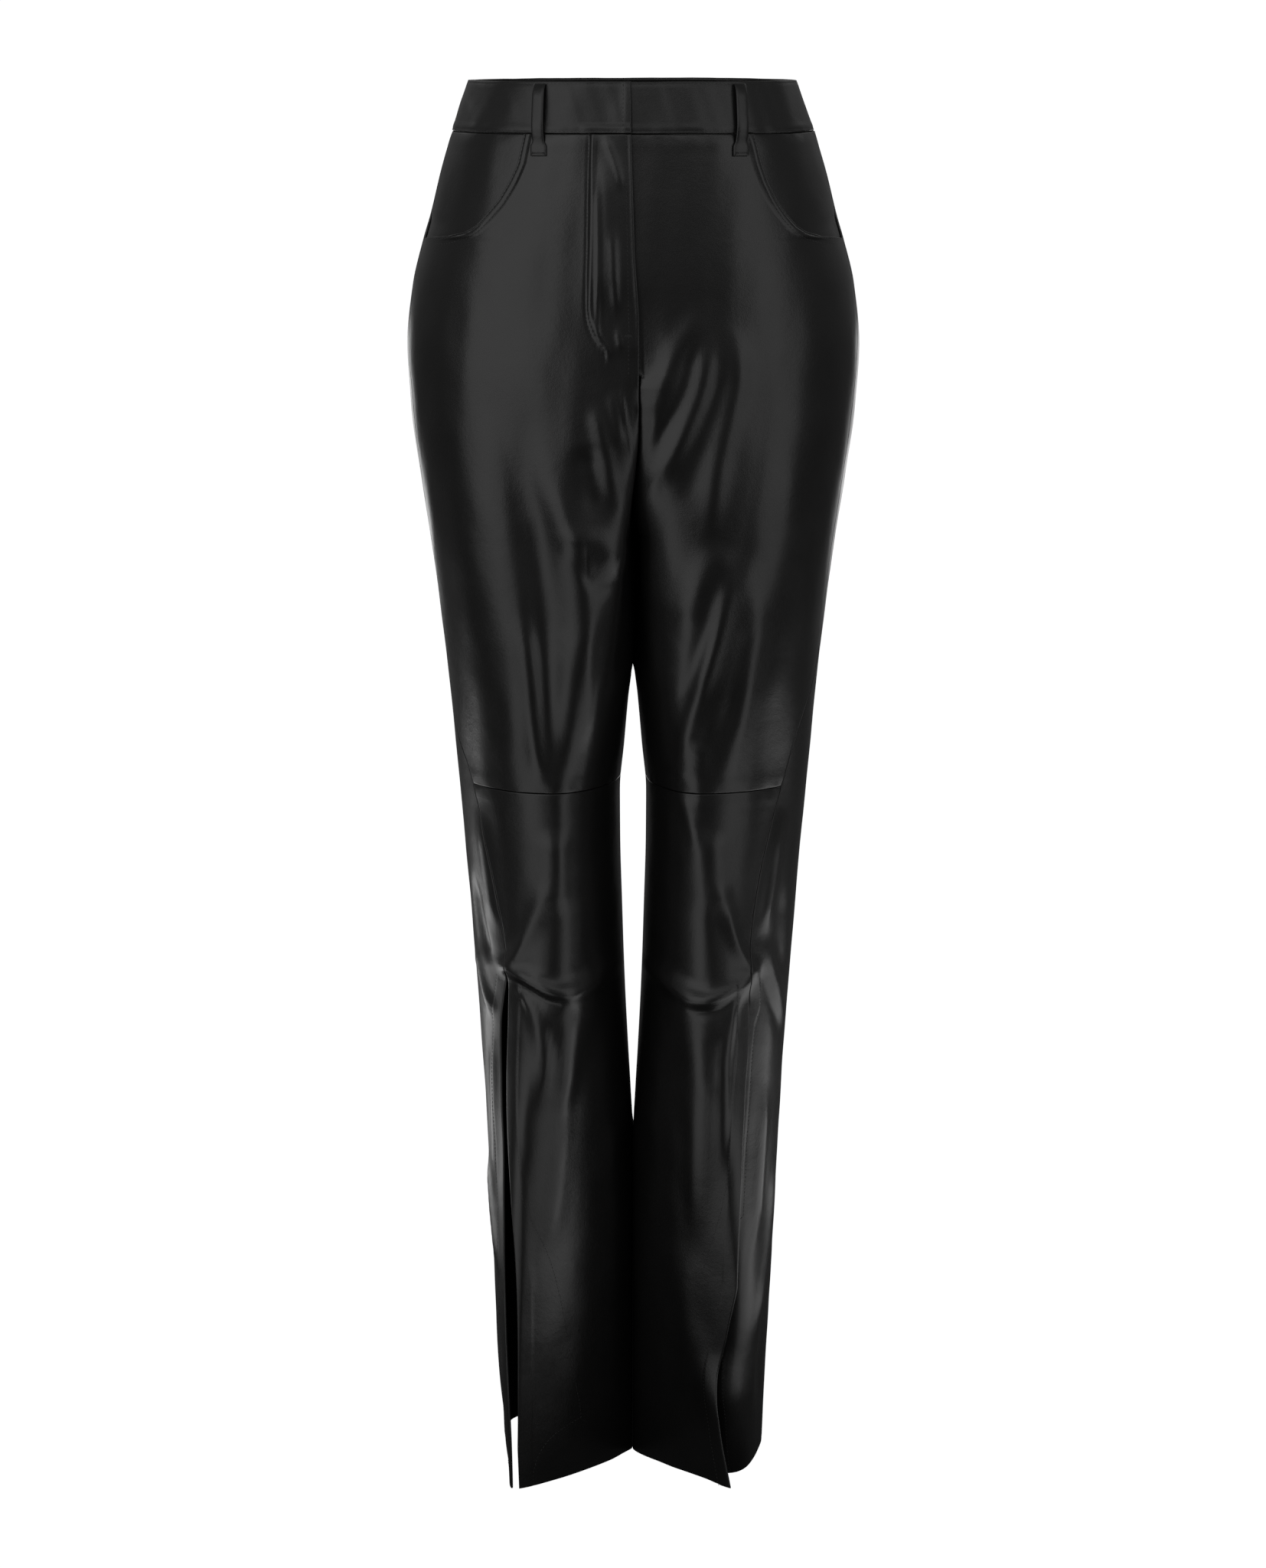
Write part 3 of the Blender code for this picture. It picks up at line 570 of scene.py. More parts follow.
# %% Leather
def leather(name, shade, roughness):
    made = Shader(name)
    pebbles = made.texture("Voronoi", "Distance", "SMOOTH_F1", Scale=1100.0, Randomness=1.0, Smoothness=.6)
    pores = made.texture("Noise", Scale=420.0, Detail=3.0, Roughness=.6)
    creases = made.texture("Noise", Scale=38.0, Detail=4.0, Roughness=.55)
    height = made.node("MapRange", {"Value": pebbles, "From Max": .8, "To Max": .5})
    height = made.node("Math", {0: height.outputs[0], 1: pores}, operation="ADD")
    grain = made.bump(height.outputs[0], .00010, .5)
    soft = made.bump(creases, .0009, .35, Normal=grain)
    polish = made.texture("Noise", Scale=14.0, Detail=5.0, Roughness=.6)
    rough = made.node("MapRange", {"Value": polish, "From Min": .3, "From Max": .7,
                                   "To Min": roughness - .035, "To Max": roughness + .035})
    print(name, "shade", shade, "roughness", roughness)
    return made.finish(Base_Color=made.tone(polish, shade * .82, shade * 1.2, (1, .985, .97)),
                       Roughness=rough.outputs[0], Normal=soft, Specular_IOR_Level=.5,
                       Coat_Normal=soft, Coat_Weight=.10, Coat_Roughness=.22)


panel_leather = leather("black_leather", .0065, .31)
band_leather = leather("black_leather_band", .0075, .38)

# %% The woven cloth on the leather's wrong side
def backing_cloth():
    made = Shader("cloth_backing")
    weave = made.texture("Voronoi", "Distance", Scale=900.0)
    threads = made.texture("Wave", Scale=260.0, Distortion=1.5, Detail=2.0)
    threads.node.bands_direction = "DIAGONAL"
    height = made.node("Math", {0: weave, 1: threads}, operation="ADD").outputs[0]
    return made.finish(Base_Color=made.tone(threads, .008, .014), Roughness=.9, Specular_IOR_Level=.2,
                       Normal=made.bump(height, .0002, .5))


backing = backing_cloth()
print("backing:", backing.name)

# %% Sewing thread
def thread_material():
    made = Shader("black_thread")
    twist = made.texture("Noise", Scale=2600.0, Detail=2.0)
    return made.finish(Base_Color=made.tone(twist, .010, .022), Roughness=.55,
                       Normal=made.bump(twist, .0001, .4))


thread = thread_material()
print("thread:", thread.name)

# %% [markdown]
# ## A panel as a thin shell
# Every panel has an outer and an inner skin that meet in a round edge. Near a sewn edge the skin
# rolls over into the seam, and a free edge, as at the pocket, the fly and the slit, is turned under
# and stitched down, so it is thicker and has a flat raised border. A Solidify modifier could give the
# thickness, but not edges that differ from side to side.

# %% Distances from a panel's places to its edges
def distance_to(path, points, cap=.03):
    """Shortest distance from each point to a line of points; far ones only get the cap."""
    flat = points.reshape(-1, 3)
    best = np.full(len(flat), cap)
    for i in range(0, len(path) - 1, 8):
        part = path[i:i + 9]
        near = np.flatnonzero((flat > part.min(0) - cap).all(1) & (flat < part.max(0) + cap).all(1))
        if not len(near):
            continue
        best[near] = np.minimum(best[near], from_steps(flat[near], part)[0].min(1))
    return best.reshape(points.shape[:-1])


# %% Rows and columns that crowd together at the edges
NEAR_EDGE = np.array([.00018, .0005, .0009, .0015, .0024, .0036])


def crowded(length, step, start=NEAR_EDGE, end=NEAR_EDGE, extra=()):
    """Fractions from 0 to 1 along a length, a step apart, with more at the ends and at extra places."""
    plain = np.linspace(0, length, max(int(round(length / step)), 1) + 1)[1:-1]
    close = np.concatenate([start, length - np.asarray(end), np.asarray(extra, float)])
    plain = [p for p in plain if np.abs(close - p).min() > step / 2]
    return np.array(sorted({0.0, length, *close.tolist(), *plain})) / length


def levels_between(top, bottom, step, extra=()):
    fractions = crowded(top - bottom, step, extra=[top - z for z in extra])
    return top - (top - bottom) * fractions


# %% Building a shell between its two skins
WALL = .0014                       # thickness of the leather with its backing


def shell(name, side, outer, inner, materials):
    """A closed shell: the skins share their border. The inner skin gets the last material."""
    rows, columns = outer.shape[:2]
    count = rows * columns
    index = np.arange(count).reshape(rows, columns)
    other = index + count
    for edge in (np.s_[0, :], np.s_[-1, :], np.s_[:, 0], np.s_[:, -1]):
        other[edge] = index[edge]

    def quads(grid, flip):
        a, b, c, d = grid[:-1, :-1], grid[:-1, 1:], grid[1:, 1:], grid[1:, :-1]
        order = (a, d, c, b) if flip else (a, b, c, d)
        return np.stack(order, -1).reshape(-1, 4)

    faces = np.vstack([quads(index, side == LEFT), quads(other, side != LEFT)])
    points = np.vstack([outer.reshape(-1, 3), inner.reshape(-1, 3)])
    used = np.unique(faces)
    renumber = np.full(len(points), -1)
    renumber[used] = np.arange(len(used))
    kinds = np.repeat([0, len(materials) - 1], len(faces) // 2)
    return new_object(name, points[used], renumber[faces], materials, kinds)


def round_edge(away, wall):
    """How far a skin rolls in at a distance from the edge, for a wall's thickness."""
    r = wall / 2
    return r - np.sqrt(np.maximum(r * r - (r - np.minimum(away, r)) ** 2, 0))


# %% Folds on the outer sides below the knee, whose places are (share, z) in thousandths
LEG_ROUND = .44                    # metres round a leg, to give shares a length
SIDE_FOLDS = metres({RIGHT: [
    (8, 2.5, [(400, -545), (388, -600), (372, -645)]),
    (7, -2.75, [(445, -600), (425, -640), (395, -672)]),
    (7, 2.75, [(470, -650), (430, -690), (375, -712)]),
    (8, 2.25, [(390, -720), (380, -790), (385, -860)]),
    (8, 2.25, [(470, -830), (420, -870), (360, -920)]),
    (8, -1.75, [(460, -900), (410, -950), (370, -1000)]),
], LEFT: [
    (8, 2.5, [(392, -545), (376, -600), (352, -650)]),
    (8.5, 1.25, [(345, -640), (385, -672), (440, -712), (480, -735)]),
    (7, -1.25, [(345, -660), (390, -698), (440, -735)]),
    (10, -1.5, [(420, -610), (405, -650), (430, -690)]),
    (8, 2.25, [(380, -760), (365, -830), (352, -900)]),
    (8, 2.25, [(450, -820), (420, -900), (370, -985)]),
    (9, -2, [(470, -900), (440, -960), (390, -1040)]),
]}, LEG_ROUND)
print([len(SIDE_FOLDS[side]) for side in (RIGHT, LEFT)], "folds at the sides")

# %% Puckers and grooves beside the stitches
draws = np.random.default_rng(11)
PUCKERS = [(draws.normal(size=3) / draws.uniform(.0025, .0045), draws.uniform(0, 6.28))
           for _ in range(8)]
SINK, SINK_REACH, SINK_UNEVEN = .00038, .005, .6      # a sewn edge sinks towards its seam
PUFF, PUFF_END, PUFF_FADE = .00022, .0085, .0025      # the seam allowance raises the leather over it
GROOVE, GROOVE_HALF = .00035, .0008                   # a row of stitches pulls a groove
BORDER_ENDS, BORDER_FADE, WALL_FADE = .004, .0012, .003     # how a turned edge's border dies out


def pucker(points):
    """A small random height, which puckers the leather beside a seam."""
    return sum(np.sin(points @ direction + phase) for direction, phase in PUCKERS) / 3


def groove(away, depth=GROOVE, half=GROOVE_HALF):
    """Depth of a groove at a distance from its middle."""
    return depth * np.exp(-(away / half) ** 2)


# %% A panel: its place on the form, its folds and the finish of its four edges
class Panel:
    """borders lists turned edges: (edge, width, raised, extra wall, heights it runs between)."""

    def __init__(self, side, levels, columns, sewn=(), borders=(), lift=None, shape=form,
                 details=None):
        self.side, self.shape, self.lift, self.details = side, shape, lift, details
        self.sewn, self.borders = sewn, borders
        self.z = np.asarray(levels)[:, None]
        self.share = columns(self.z)
        base = shape(side, self.share, self.z)
        self.edges = {"start": base[:, 0], "end": base[:, -1], "top": base[0], "bottom": base[-1]}

    def skin(self, share, z):
        """Base points, normals, the outer skin's height and the wall's thickness at some places."""
        base = self.shape(self.side, share, z)
        normal = outward(self.side, share, z, self.shape)
        z = np.broadcast_to(z, share.shape)
        away = {name: distance_to(path, base) for name, path in self.edges.items()}
        height = relief(self.side, np.abs(share), z, base)
        height += fold_height(SIDE_FOLDS[self.side], share * LEG_ROUND, z)
        for name in self.sewn:
            close = np.exp(-away[name] / SINK_REACH)
            height -= SINK * close * (1 + SINK_UNEVEN * pucker(base))
            height += PUFF * (1 - ease((away[name] - PUFF_END) / PUFF_FADE))
        wall = np.full(share.shape, WALL)
        for name, width, raised, extra, (low, high) in self.borders:
            within = ease((z - low) / BORDER_ENDS) * ease((high - z) / BORDER_ENDS)
            height += raised * within * (1 - ease((away[name] - width) / BORDER_FADE))
            height -= within * groove(away[name] - width)
            wall += extra * within * (1 - ease((away[name] - width) / WALL_FADE))
        if self.details:
            height += self.details(base)
        if self.lift:
            height += self.lift(share, z)
        height = height * (1 - touching(np.abs(share), z))
        nearest = np.minimum.reduce(list(away.values()))
        return base, normal, height, wall, nearest

    def build(self, name, materials):
        base, normal, height, wall, nearest = self.skin(self.share, self.z)
        roll = round_edge(nearest, wall)
        outer = base + normal * (height - roll)[..., None]
        inner = base + normal * (height - wall + roll)[..., None]
        for skin in (outer, inner):                   # one leg's inseam stays clear of the other's
            legs = (self.z < CROTCH) & (self.side * skin[..., 0] < SEAM / 2)
            skin[..., 0] = np.where(legs, self.side * SEAM / 2, skin[..., 0])
        return shell(name, self.side, pressed(outer), pressed(inner), materials)

    def place(self, share, z, above=0.0):
        """Places on the finished outer skin, and the skin's normals there."""
        share, z = np.asarray(share, float), np.asarray(z, float)
        base, normal, height, wall, nearest = self.skin(share, z)
        height = height - round_edge(nearest, wall) + above
        return base + normal * height[:, None], normal


def columns_between(start, end, fractions):
    return lambda z: start(z) + (end(z) - start(z)) * fractions


# %% Seams and edges, as shares of the slices at each height
def both(right, left):
    return {RIGHT: right, LEFT: left}


def both_at(heights, right, left, kind=curve):
    return both(at_heights(heights, *right, kind=kind), at_heights(heights, *left, kind=kind))


outseam = both_at(
    (0, -.17, -.24, -.29, -.36, -.42, -.447, -.472, -.494, -.52, -.558, -.6, -.64, SLIT_TOP),
    (.470, .455, .441, .452, .484, .491, .490, .481, .455, .418, .393, .373, .355, .344),
    (.470, .455, .441, .443, .448, .464, .453, .428, .407, .393, .369, .347, .331, .324))
slit_front = both_at(
    (SLIT_TOP, -.712, -.767, -.808, -.857, -.906, -.96, -.996, -1.035, HEM),
    (.344, .342, .330, .317, .298, .276, .264, .259, .252, .247),
    (.324, .325, .312, .301, .283, .258, .228, .212, .216, .229))
slit_back = both_at(
    (SLIT_TOP, -.684, -.696, -.712, -.768, -.809, -.858, -.907, -.962, -1.017, HEM),
    (.344, .350, .356, .361, .347, .335, .3325, .333, .330, .316, .302),
    (.324, .324, .324, .309, .289, .275, .255, .230, .200, .185, .190))
pocket = both_at(
    (-.0375, -.060, -.073, -.086, -.097, -.105, -.110, -.114, -.117),
    (.244, .246, .256, .270, .288, .303, .321, .362, .462),
    (.268, .271, .277, .288, .302, .316, .333, .370, .462), kind=line)
BAND_HEIGHT, POCKET_END = .0375, -.117
WAIST_SEAM = -BAND_HEIGHT - SEAM


def front_edge(side):
    def share(z):
        return np.where(z > POCKET_END, pocket[side](z),
                        np.where(z > SLIT_TOP, outseam[side](z), slit_front[side](z))) - EDGE
    return share


def back_edge(side):
    def share(z):
        return np.where(z > SLIT_TOP, outseam[side](z), slit_back[side](z)) + EDGE
    return share


# %% The swing of the back panels at the hem
SWING_EDGE, SWING_BEND = np.array([.052, -.058]), np.array([.096, -.064])
tuck_depth = curve((-.672, 0), (-.684, .0014), (-.696, .0026), (-.76, .0030), (-.86, .0034),
                   (-.96, .0034), (-1.08, .0030))
tuck_swing = curve((-.672, 0), (-.696, 0), (-.76, .02), (-.86, .20), (-.96, .60), (-1.08, 1))
TUCK_SHARE = .08


def tucked_form(side, share, z):
    """The left back panel passes under the front panel's free edge, more so towards the hem."""
    share, z = arrays(share, z)
    point = form(side, share, z)
    start = slit_back[side](z)
    t = np.clip((share - start) / (.5 - start), 0, 1)[..., None]
    at_side = form(side, .5, z)[..., :2]
    swung = (1 - t) ** 2 * SWING_EDGE + 2 * t * (1 - t) * SWING_BEND + t * t * at_side
    moved = point.copy()
    moved[..., :2] += (swung - point[..., :2]) * tuck_swing(z)[..., None]
    moved[..., 1] += tuck_depth(z) * (1 - ease((share - slit_front[side](z)) / TUCK_SHARE))
    return np.where(((z <= SLIT_TOP) & (share <= .5))[..., None], moved, point)


BOW_SHARE, BOW_REACH, BOW_DEPTH, BOW_TOP = .40, .12, .0050, -.980


def bowed_form(side, share, z):
    """The right back panel's side bows in a little at the hem."""
    point = form(side, share, z).copy()
    across = 1 - np.minimum(np.abs(share - BOW_SHARE) / BOW_REACH, 1)
    point[..., 0] -= side * BOW_DEPTH * ease(across) * ease((BOW_TOP - z) / (BOW_TOP - HEM))
    return point


print("slits' tops at shares", [round(float(slit_front[side](SLIT_TOP)), 3) for side in (RIGHT, LEFT)])

# %% [markdown]
# ## Front panels
# Each front is cut in two at the knee. The right one laps over the left at the fly, with its edge
# turned and stitched, and both are scooped at the top for the pockets. They are made on a grid of
# about three millimetres, finer beside every edge, so that the folds stay round in the gloss.

# %% The fly's curved row of stitches, and how the leather puffs beside it
FLY_CURVE = [(-.0321, -.0375), (-.0330, -.070), (-.0338, -.120), (-.0346, -.158), (-.0338, -.171),
             (-.0310, -.180), (-.0262, -.189), (-.0214, -.1955), (-.0206, -.201)]
fly_path = smooth_path(FLY_CURVE, 121)
FLY_PUFFS = metres({RIGHT: [
    # narrow puckers inside the fly, the edge's own soft roll, and a ridge down the seam below it
    (10, 2.2, [(-19, -45), (-19, -110), (-18.5, -170)]),
    (2.6, 1.1, [(-27.5, -60), (-26.2, -95), (-26, -140), (-26.2, -176), (-22.5, -190)]),
    (3, 1, [(-22.5, -40), (-16, -50), (-10.5, -66), (-8, -80)]),
    (3.4, .9, [(-15, -100), (-13.5, -140), (-12, -172)]),
    (2.4, .8, [(-12, -178), (-10, -186), (-8.5, -194)]),
    (1.1, .9, [(-8.8, -220), (-8, -232), (-6.2, -247), (-3.2, -264), (-1.6, -282)]),
]})
J_END, J_FADE = -.190, .012        # the fly's ridge dies out below this height
FLY_LEFT, FLY_RIGHT, FLY_LOW = -.045, .01, -.215       # the curve is looked for within these


def line_distance(path, x, z):
    """Distance to a line of (x, z) places, and on which side of it a place lies (+1 to the right)."""
    here = np.stack(np.broadcast_arrays(x, z), -1)
    away, _ = from_steps(here, path)
    nearest = away.argmin(-1)[..., None]
    step, gap = np.diff(path, axis=0), here[..., None, :] - path[:-1]
    turn = step[:, 0] * gap[..., 1] - step[:, 1] * gap[..., 0]
    return (np.take_along_axis(away, nearest, -1)[..., 0],
            np.sign(np.take_along_axis(turn, nearest, -1)[..., 0]))


def fly_details(base):
    """The stitched curve's groove, the ridge and the doubled leather inside it, and the puckers."""
    x, z = base[..., 0], base[..., 2]
    height = np.zeros(x.shape)
    near = (x > FLY_LEFT) & (x < FLY_RIGHT) & (z > FLY_LOW)
    away, right = line_distance(fly_path, x[near], z[near])
    inside = np.where(right > 0, 1.0, 0.0) * (1 - ease((J_END - z[near]) / J_FADE))
    ridge = .0010 * np.exp(-((away - .0032) / .0018) ** 2) * inside
    double = .0006 * ease((away - .0005) / .0020) * inside
    height[near] = ridge + double - groove(away, .0007, .0009)
    return height + fold_height(FLY_PUFFS[RIGHT], x, z)


fly_steps = np.linalg.norm(np.diff(fly_path, axis=0), axis=1)
print("fly stitching, metres:", round(float(fly_steps.sum()), 3))

# %% Rows of the fronts' grids, and how the left one lies under the right one
FLY_END, FLY_STEP, FLY_FLUSH = -.2125, -.2140, -.2215      # the lap ends, steps down and is level
FLY_SHARE, FLY_UNDER = .09, .0026                          # how far it laps, and how far under
FLY_CLEAR, FLY_CLEAR_SLOPE = .22, .08                      # it comes up again over this share
STEP = .0031                       # size of the panels' grid
crotch_levels = [CROTCH + RISE_CURVE * (1 - (1 - u * u) ** (1 / RISE_POWER))
                 for u in np.linspace(0, .62, 21)]
pocket_levels = list(np.linspace(-.088, -.1172, 34))
upper_levels = levels_between(WAIST_SEAM, KNEE_SEAM + SEAM / 2, STEP,
                              crotch_levels + pocket_levels + [FLY_END, FLY_STEP, FLY_FLUSH])
lower_levels = levels_between(KNEE_SEAM - SEAM / 2, HEM, STEP,
                              [SLIT_TOP] + list(SLIT_TOP - np.linspace(.0015, .036, 16)))
print(len(upper_levels), "rows above the knee seam,", len(lower_levels), "below")


def under_fly(share, z):
    """The left front lies under the right one along the fly."""
    clear = np.clip((share - .012) / FLY_CLEAR, 0, 1)
    slope = FLY_CLEAR_SLOPE * clear
    down = 1 - ease((FLY_STEP + slope - z) / (FLY_STEP - FLY_FLUSH + slope))
    return -FLY_UNDER * down * (1 - ease(clear))


# %% The right and left front, from waist to knee
def left_start(z):
    return np.where(z >= FLY_END - 1e-9, -FLY_SHARE, EDGE)


def inseam_start(z):
    return np.full_like(z, EDGE)


MOUTH_ROWS = .0013, .0056          # the two rows of stitches along a pocket's mouth
POCKET_BORDERS = (("end", MOUTH_ROWS[1], .0012, .0002, (POCKET_END, 0.01)),
                  ("end", MOUTH_ROWS[0], -.0005, 0, (POCKET_END, 0.01)))
FLY_BORDER = ("start", .0030, .0003, .0006, (FLY_FLUSH, 0.01))
RISE_BORDER = ("start", .0021, .0006, .0004, (CROTCH - .03, -.232))
UNDERLAP_END, FLY_SIDE = .010, .130      # shares: under the right front's edge, and past the J
at_fly = np.linspace(.0048, .0405, 40)                 # columns at the fly's curve
at_lap = np.linspace(.0065, .0225, 15)                 # columns of the left front at the lap's edge
past_mouth = np.linspace(.0045, .0085, 6)              # and columns just past a mouth's stitches


def knotted(start, knot, end, before, after):
    """Columns up to a knot's share keep their places while the ones past it follow the far edge."""
    def columns(z):
        middle = np.full_like(z, knot)
        return np.hstack([start(z) + (middle - start(z)) * before,
                          (middle + (end(z) - middle) * after)[:, 1:]])
    return columns


left_columns = knotted(left_start, UNDERLAP_END, front_edge(LEFT), crowded(.045, STEP, end=()),
                       crowded(.19, STEP, start=(), extra=[*at_lap, *(.19 - past_mouth)]))
right_columns = knotted(inseam_start, FLY_SIDE, front_edge(RIGHT),
                        crowded(.042, STEP, end=(), extra=at_fly),
                        crowded(.16, STEP, start=(), extra=.16 - past_mouth))
upper = both(Panel(RIGHT, upper_levels, right_columns, sewn=("top", "bottom"),
                   borders=(*POCKET_BORDERS, FLY_BORDER, RISE_BORDER), details=fly_details),
             Panel(LEFT, upper_levels, left_columns, sewn=("top", "bottom"),
                   borders=POCKET_BORDERS, lift=under_fly))
print([panel.share.shape[1] for panel in upper.values()], "columns")

# %% The lower fronts, whose outer edge is free below the slit's top
FACING = .0125                     # how wide the slit's edges are turned in
SLIT_HEIGHTS = HEM - .01, SLIT_TOP - .004
SLIT_BORDER = ("end", FACING, .0004, .0007, SLIT_HEIGHTS)
at_facing = np.linspace(.0050, .0165, 14)
lower_fractions = crowded(.12, STEP, extra=.12 - at_facing)
lower = {side: Panel(side, lower_levels,
                     columns_between(inseam_start, front_edge(side), lower_fractions),
                     sewn=("top",), borders=(SLIT_BORDER,)) for side in (RIGHT, LEFT)}
print(len(lower_fractions), "columns")

# %% [markdown]
# ## Back panels
# A back runs from waist to hem in one piece. Its outer edge is the outseam, which swings to the front
# of the leg above the slit, and below that it is the slit's other edge. It could be cut in two at
# the knee as well. One long panel leaves the back plain and lets the left one swing under at the hem.

# %% The backs
back_levels = np.concatenate([upper_levels, lower_levels])
back_fractions = crowded(.26, STEP, extra=at_facing)
BACK_BORDER = ("start", FACING, .0003, .0006, SLIT_HEIGHTS)


def back_end(z):
    return np.full_like(z, 1 - EDGE)


backs = {side: Panel(side, back_levels, columns_between(back_edge(side), back_end, back_fractions),
                     sewn=("top", "end"), borders=(BACK_BORDER,),
                     shape=bowed_form if side == RIGHT else tucked_form) for side in (RIGHT, LEFT)}
print(len(back_levels), "rows of", len(back_fractions), "columns")

# %% [markdown]
# ## The pieces seen inside the scoop pockets
# Behind each scoop a small piece of the same leather carries the pocket bag. A groove in one whole
# front could stand for the mouth. A second piece a little under the front gives it a real edge and
# a shadow.

# %% Hip pieces
HIP_END, UNDER = -.1165, .0013
hip_start = both_at((-.0375, -.086, -.110, HIP_END), (.222, .246, .296, .360), (.246, .264, .308, .360))
hip_fractions = crowded(.08, STEP)


def hip_lift(side):
    """It lies under the front along the pocket's mouth, and comes up level to meet the back."""
    def lift(share, z):
        across = (share - pocket[side](z)) / (outseam[side](z) - pocket[side](z))
        at_mouth = 1 - ease((across - .25) / .7)
        at_end = ease((-.094 - z) / .012)
        return -UNDER * np.maximum(at_mouth, at_end)
    return lift


def hip_end(side):
    return lambda z: outseam[side](z) - EDGE


hips = {side: Panel(side, levels_between(WAIST_SEAM, HIP_END, STEP),
                    columns_between(hip_start[side], hip_end(side), hip_fractions),
                    sewn=("top", "end"), lift=hip_lift(side)) for side in (RIGHT, LEFT)}
print(len(hip_fractions), "columns")

# %% Build the eight panels
made = {}
for panels, names, node in [
        (upper, "front_%s_upper", "front_upper_"), (lower, "front_%s_lower", "front_lower_"),
        (backs, "back_%s_panel", "back_"), (hips, "pocket_inset_%s", "hip_piece_")]:
    for side, word in ((RIGHT, "right"), (LEFT, "left")):
        piece = made[node + word] = panels[side].build(names % word, [panel_leather, backing])
        print(piece.name, len(piece.data.polygons) * 2, "triangles")

# %% [markdown]
# ## Waistband
# A waistband is one strip, folded over a stiff core and sewn on so that it hides the panels' raw
# edges. Its right end laps over its left end above the fly. It is the same kind of shell, thicker,
# and runs once round the body, so its two ends and both long edges are rounded folds.

# %% Stations round the waistband
BAND_WALL, BAND_PROUD = .0024, .0004     # how thick it is, and how far it stands out of the panels
BAND_LAP, BAND_TURN = .10, .006          # share that goes under the lap, and width of the turned end
BAND_STRIP = .0052                       # height of the puffed strip above the lower row of stitches
LOWER_ROW, UPPER_ROW = .0016, .0018      # the two rows of stitches, from the band's edges
LAP_START, LAP_RISE = .02, .16           # shares over which the band comes up out of the lap
FLY_DENTS, FLY_PUFFED = .16, .036        # lengths at the lapped end with more dents, and more puffed


def band_place(run):
    """Half and share at a run, which counts shares from the left end round the back."""
    return np.where(run <= 1, LEFT, RIGHT), np.where(run <= 1, run, 2 - run)


def band_base(run, z):
    run, z = np.broadcast_arrays(run, z)
    side, share = band_place(run)
    return form(side, share, z), outward(side, share, z)


fine_runs = np.linspace(-BAND_LAP, 2, 1201)
band_steps = np.diff(band_base(fine_runs, -BAND_HEIGHT / 2)[0], axis=0)
band_metres = np.concatenate([[0], np.cumsum(np.linalg.norm(band_steps, axis=1))])
BAND_LENGTH = band_metres[-1]
print("waistband strip, metres:", round(float(BAND_LENGTH), 3))

# %% The waistband's two skins
def band_height(length, z, base):
    """Height of the band's outer skin at a length along it and a height z."""
    run = np.interp(length, band_metres, fine_runs)
    above, below, end = z + BAND_HEIGHT, -z, BAND_LENGTH - length
    height = BAND_PROUD - (BAND_WALL + SEAM) * (1 - ease((run - LAP_START) / LAP_RISE))
    height = height + .0030 * unevenness(base * 3.2 + .3) + .0014 * unevenness(base * 9)
    near_fly = ease((FLY_DENTS - end) / .02)
    puffed = .00015 + .0006 * ease((FLY_PUFFED - end) / .004)
    height += puffed * (1 - ease((above - BAND_STRIP) / .0012))
    height += .0005 * (1 - ease((end - BAND_TURN) / .0014))
    height -= groove(above - LOWER_ROW, .00035, .0007) + groove(below - UPPER_ROW, .00025, .0007)
    height -= groove(end - BAND_TURN, .00030, .0008)
    height += .0004 * near_fly * unevenness(base * 18)
    return height - .00025 * np.exp(-above / .004) * pucker(base)


def band_skins(length, z):
    """Places on the outer and the inner skin, and their normals."""
    length, z = np.broadcast_arrays(length, z)
    base, normal = band_base(np.interp(length, band_metres, fine_runs), z)
    edge = np.minimum.reduce([z + BAND_HEIGHT, -z, length, BAND_LENGTH - length])
    height, roll = band_height(length, z, base), round_edge(edge, BAND_WALL)
    return (base + normal * (height - roll)[..., None],
            base + normal * (height - BAND_WALL + roll)[..., None], normal)


band_across = BAND_LENGTH * crowded(BAND_LENGTH, .0024, end=[*NEAR_EDGE, .005, .006, .007])
band_down = -BAND_HEIGHT * crowded(BAND_HEIGHT, .0017)[:, None]
band_outer, band_inner, _ = band_skins(band_across, band_down)
made["waistband"] = shell("waistband_strip", RIGHT, band_outer, band_inner, [band_leather])
print("waistband_strip", len(made["waistband"].data.polygons) * 2, "triangles")

# %% [markdown]
# ## Belt loops
# Each loop is a narrow strip folded in three, so it is puffy, with its top caught in the waistband's
# edge and its foot folded under and tacked down. A curve with a bevel profile could make it. A ring
# of points swept down the loop's path is used, because the foot has to widen into a flat tab.

# %% A closed tube from rings of points
def tube(name, rings, material):
    """Rings with the same number of points, closed at both ends, faces outwards."""
    rings = np.asarray(rings, float)
    rows, around = rings.shape[:2]
    index = np.arange(rows * around).reshape(rows, around)
    beside = np.roll(index, -1, axis=1)
    faces = np.stack([index[:-1], beside[:-1], beside[1:], index[1:]], -1).reshape(-1, 4)
    points = rings.reshape(-1, 3)
    middle = points[faces] - points.mean(0)
    volume = np.einsum("ij,ij->i", np.cross(middle[:, 1] - middle[:, 0], middle[:, 2] - middle[:, 0]),
                       middle[:, 0]).sum()
    caps = [index[0][::-1], index[-1]]
    faces = [list(f) for f in faces] + [list(c) for c in caps]
    if volume < 0:
        faces = [f[::-1] for f in faces]
    return new_object(name, points, faces, [material])


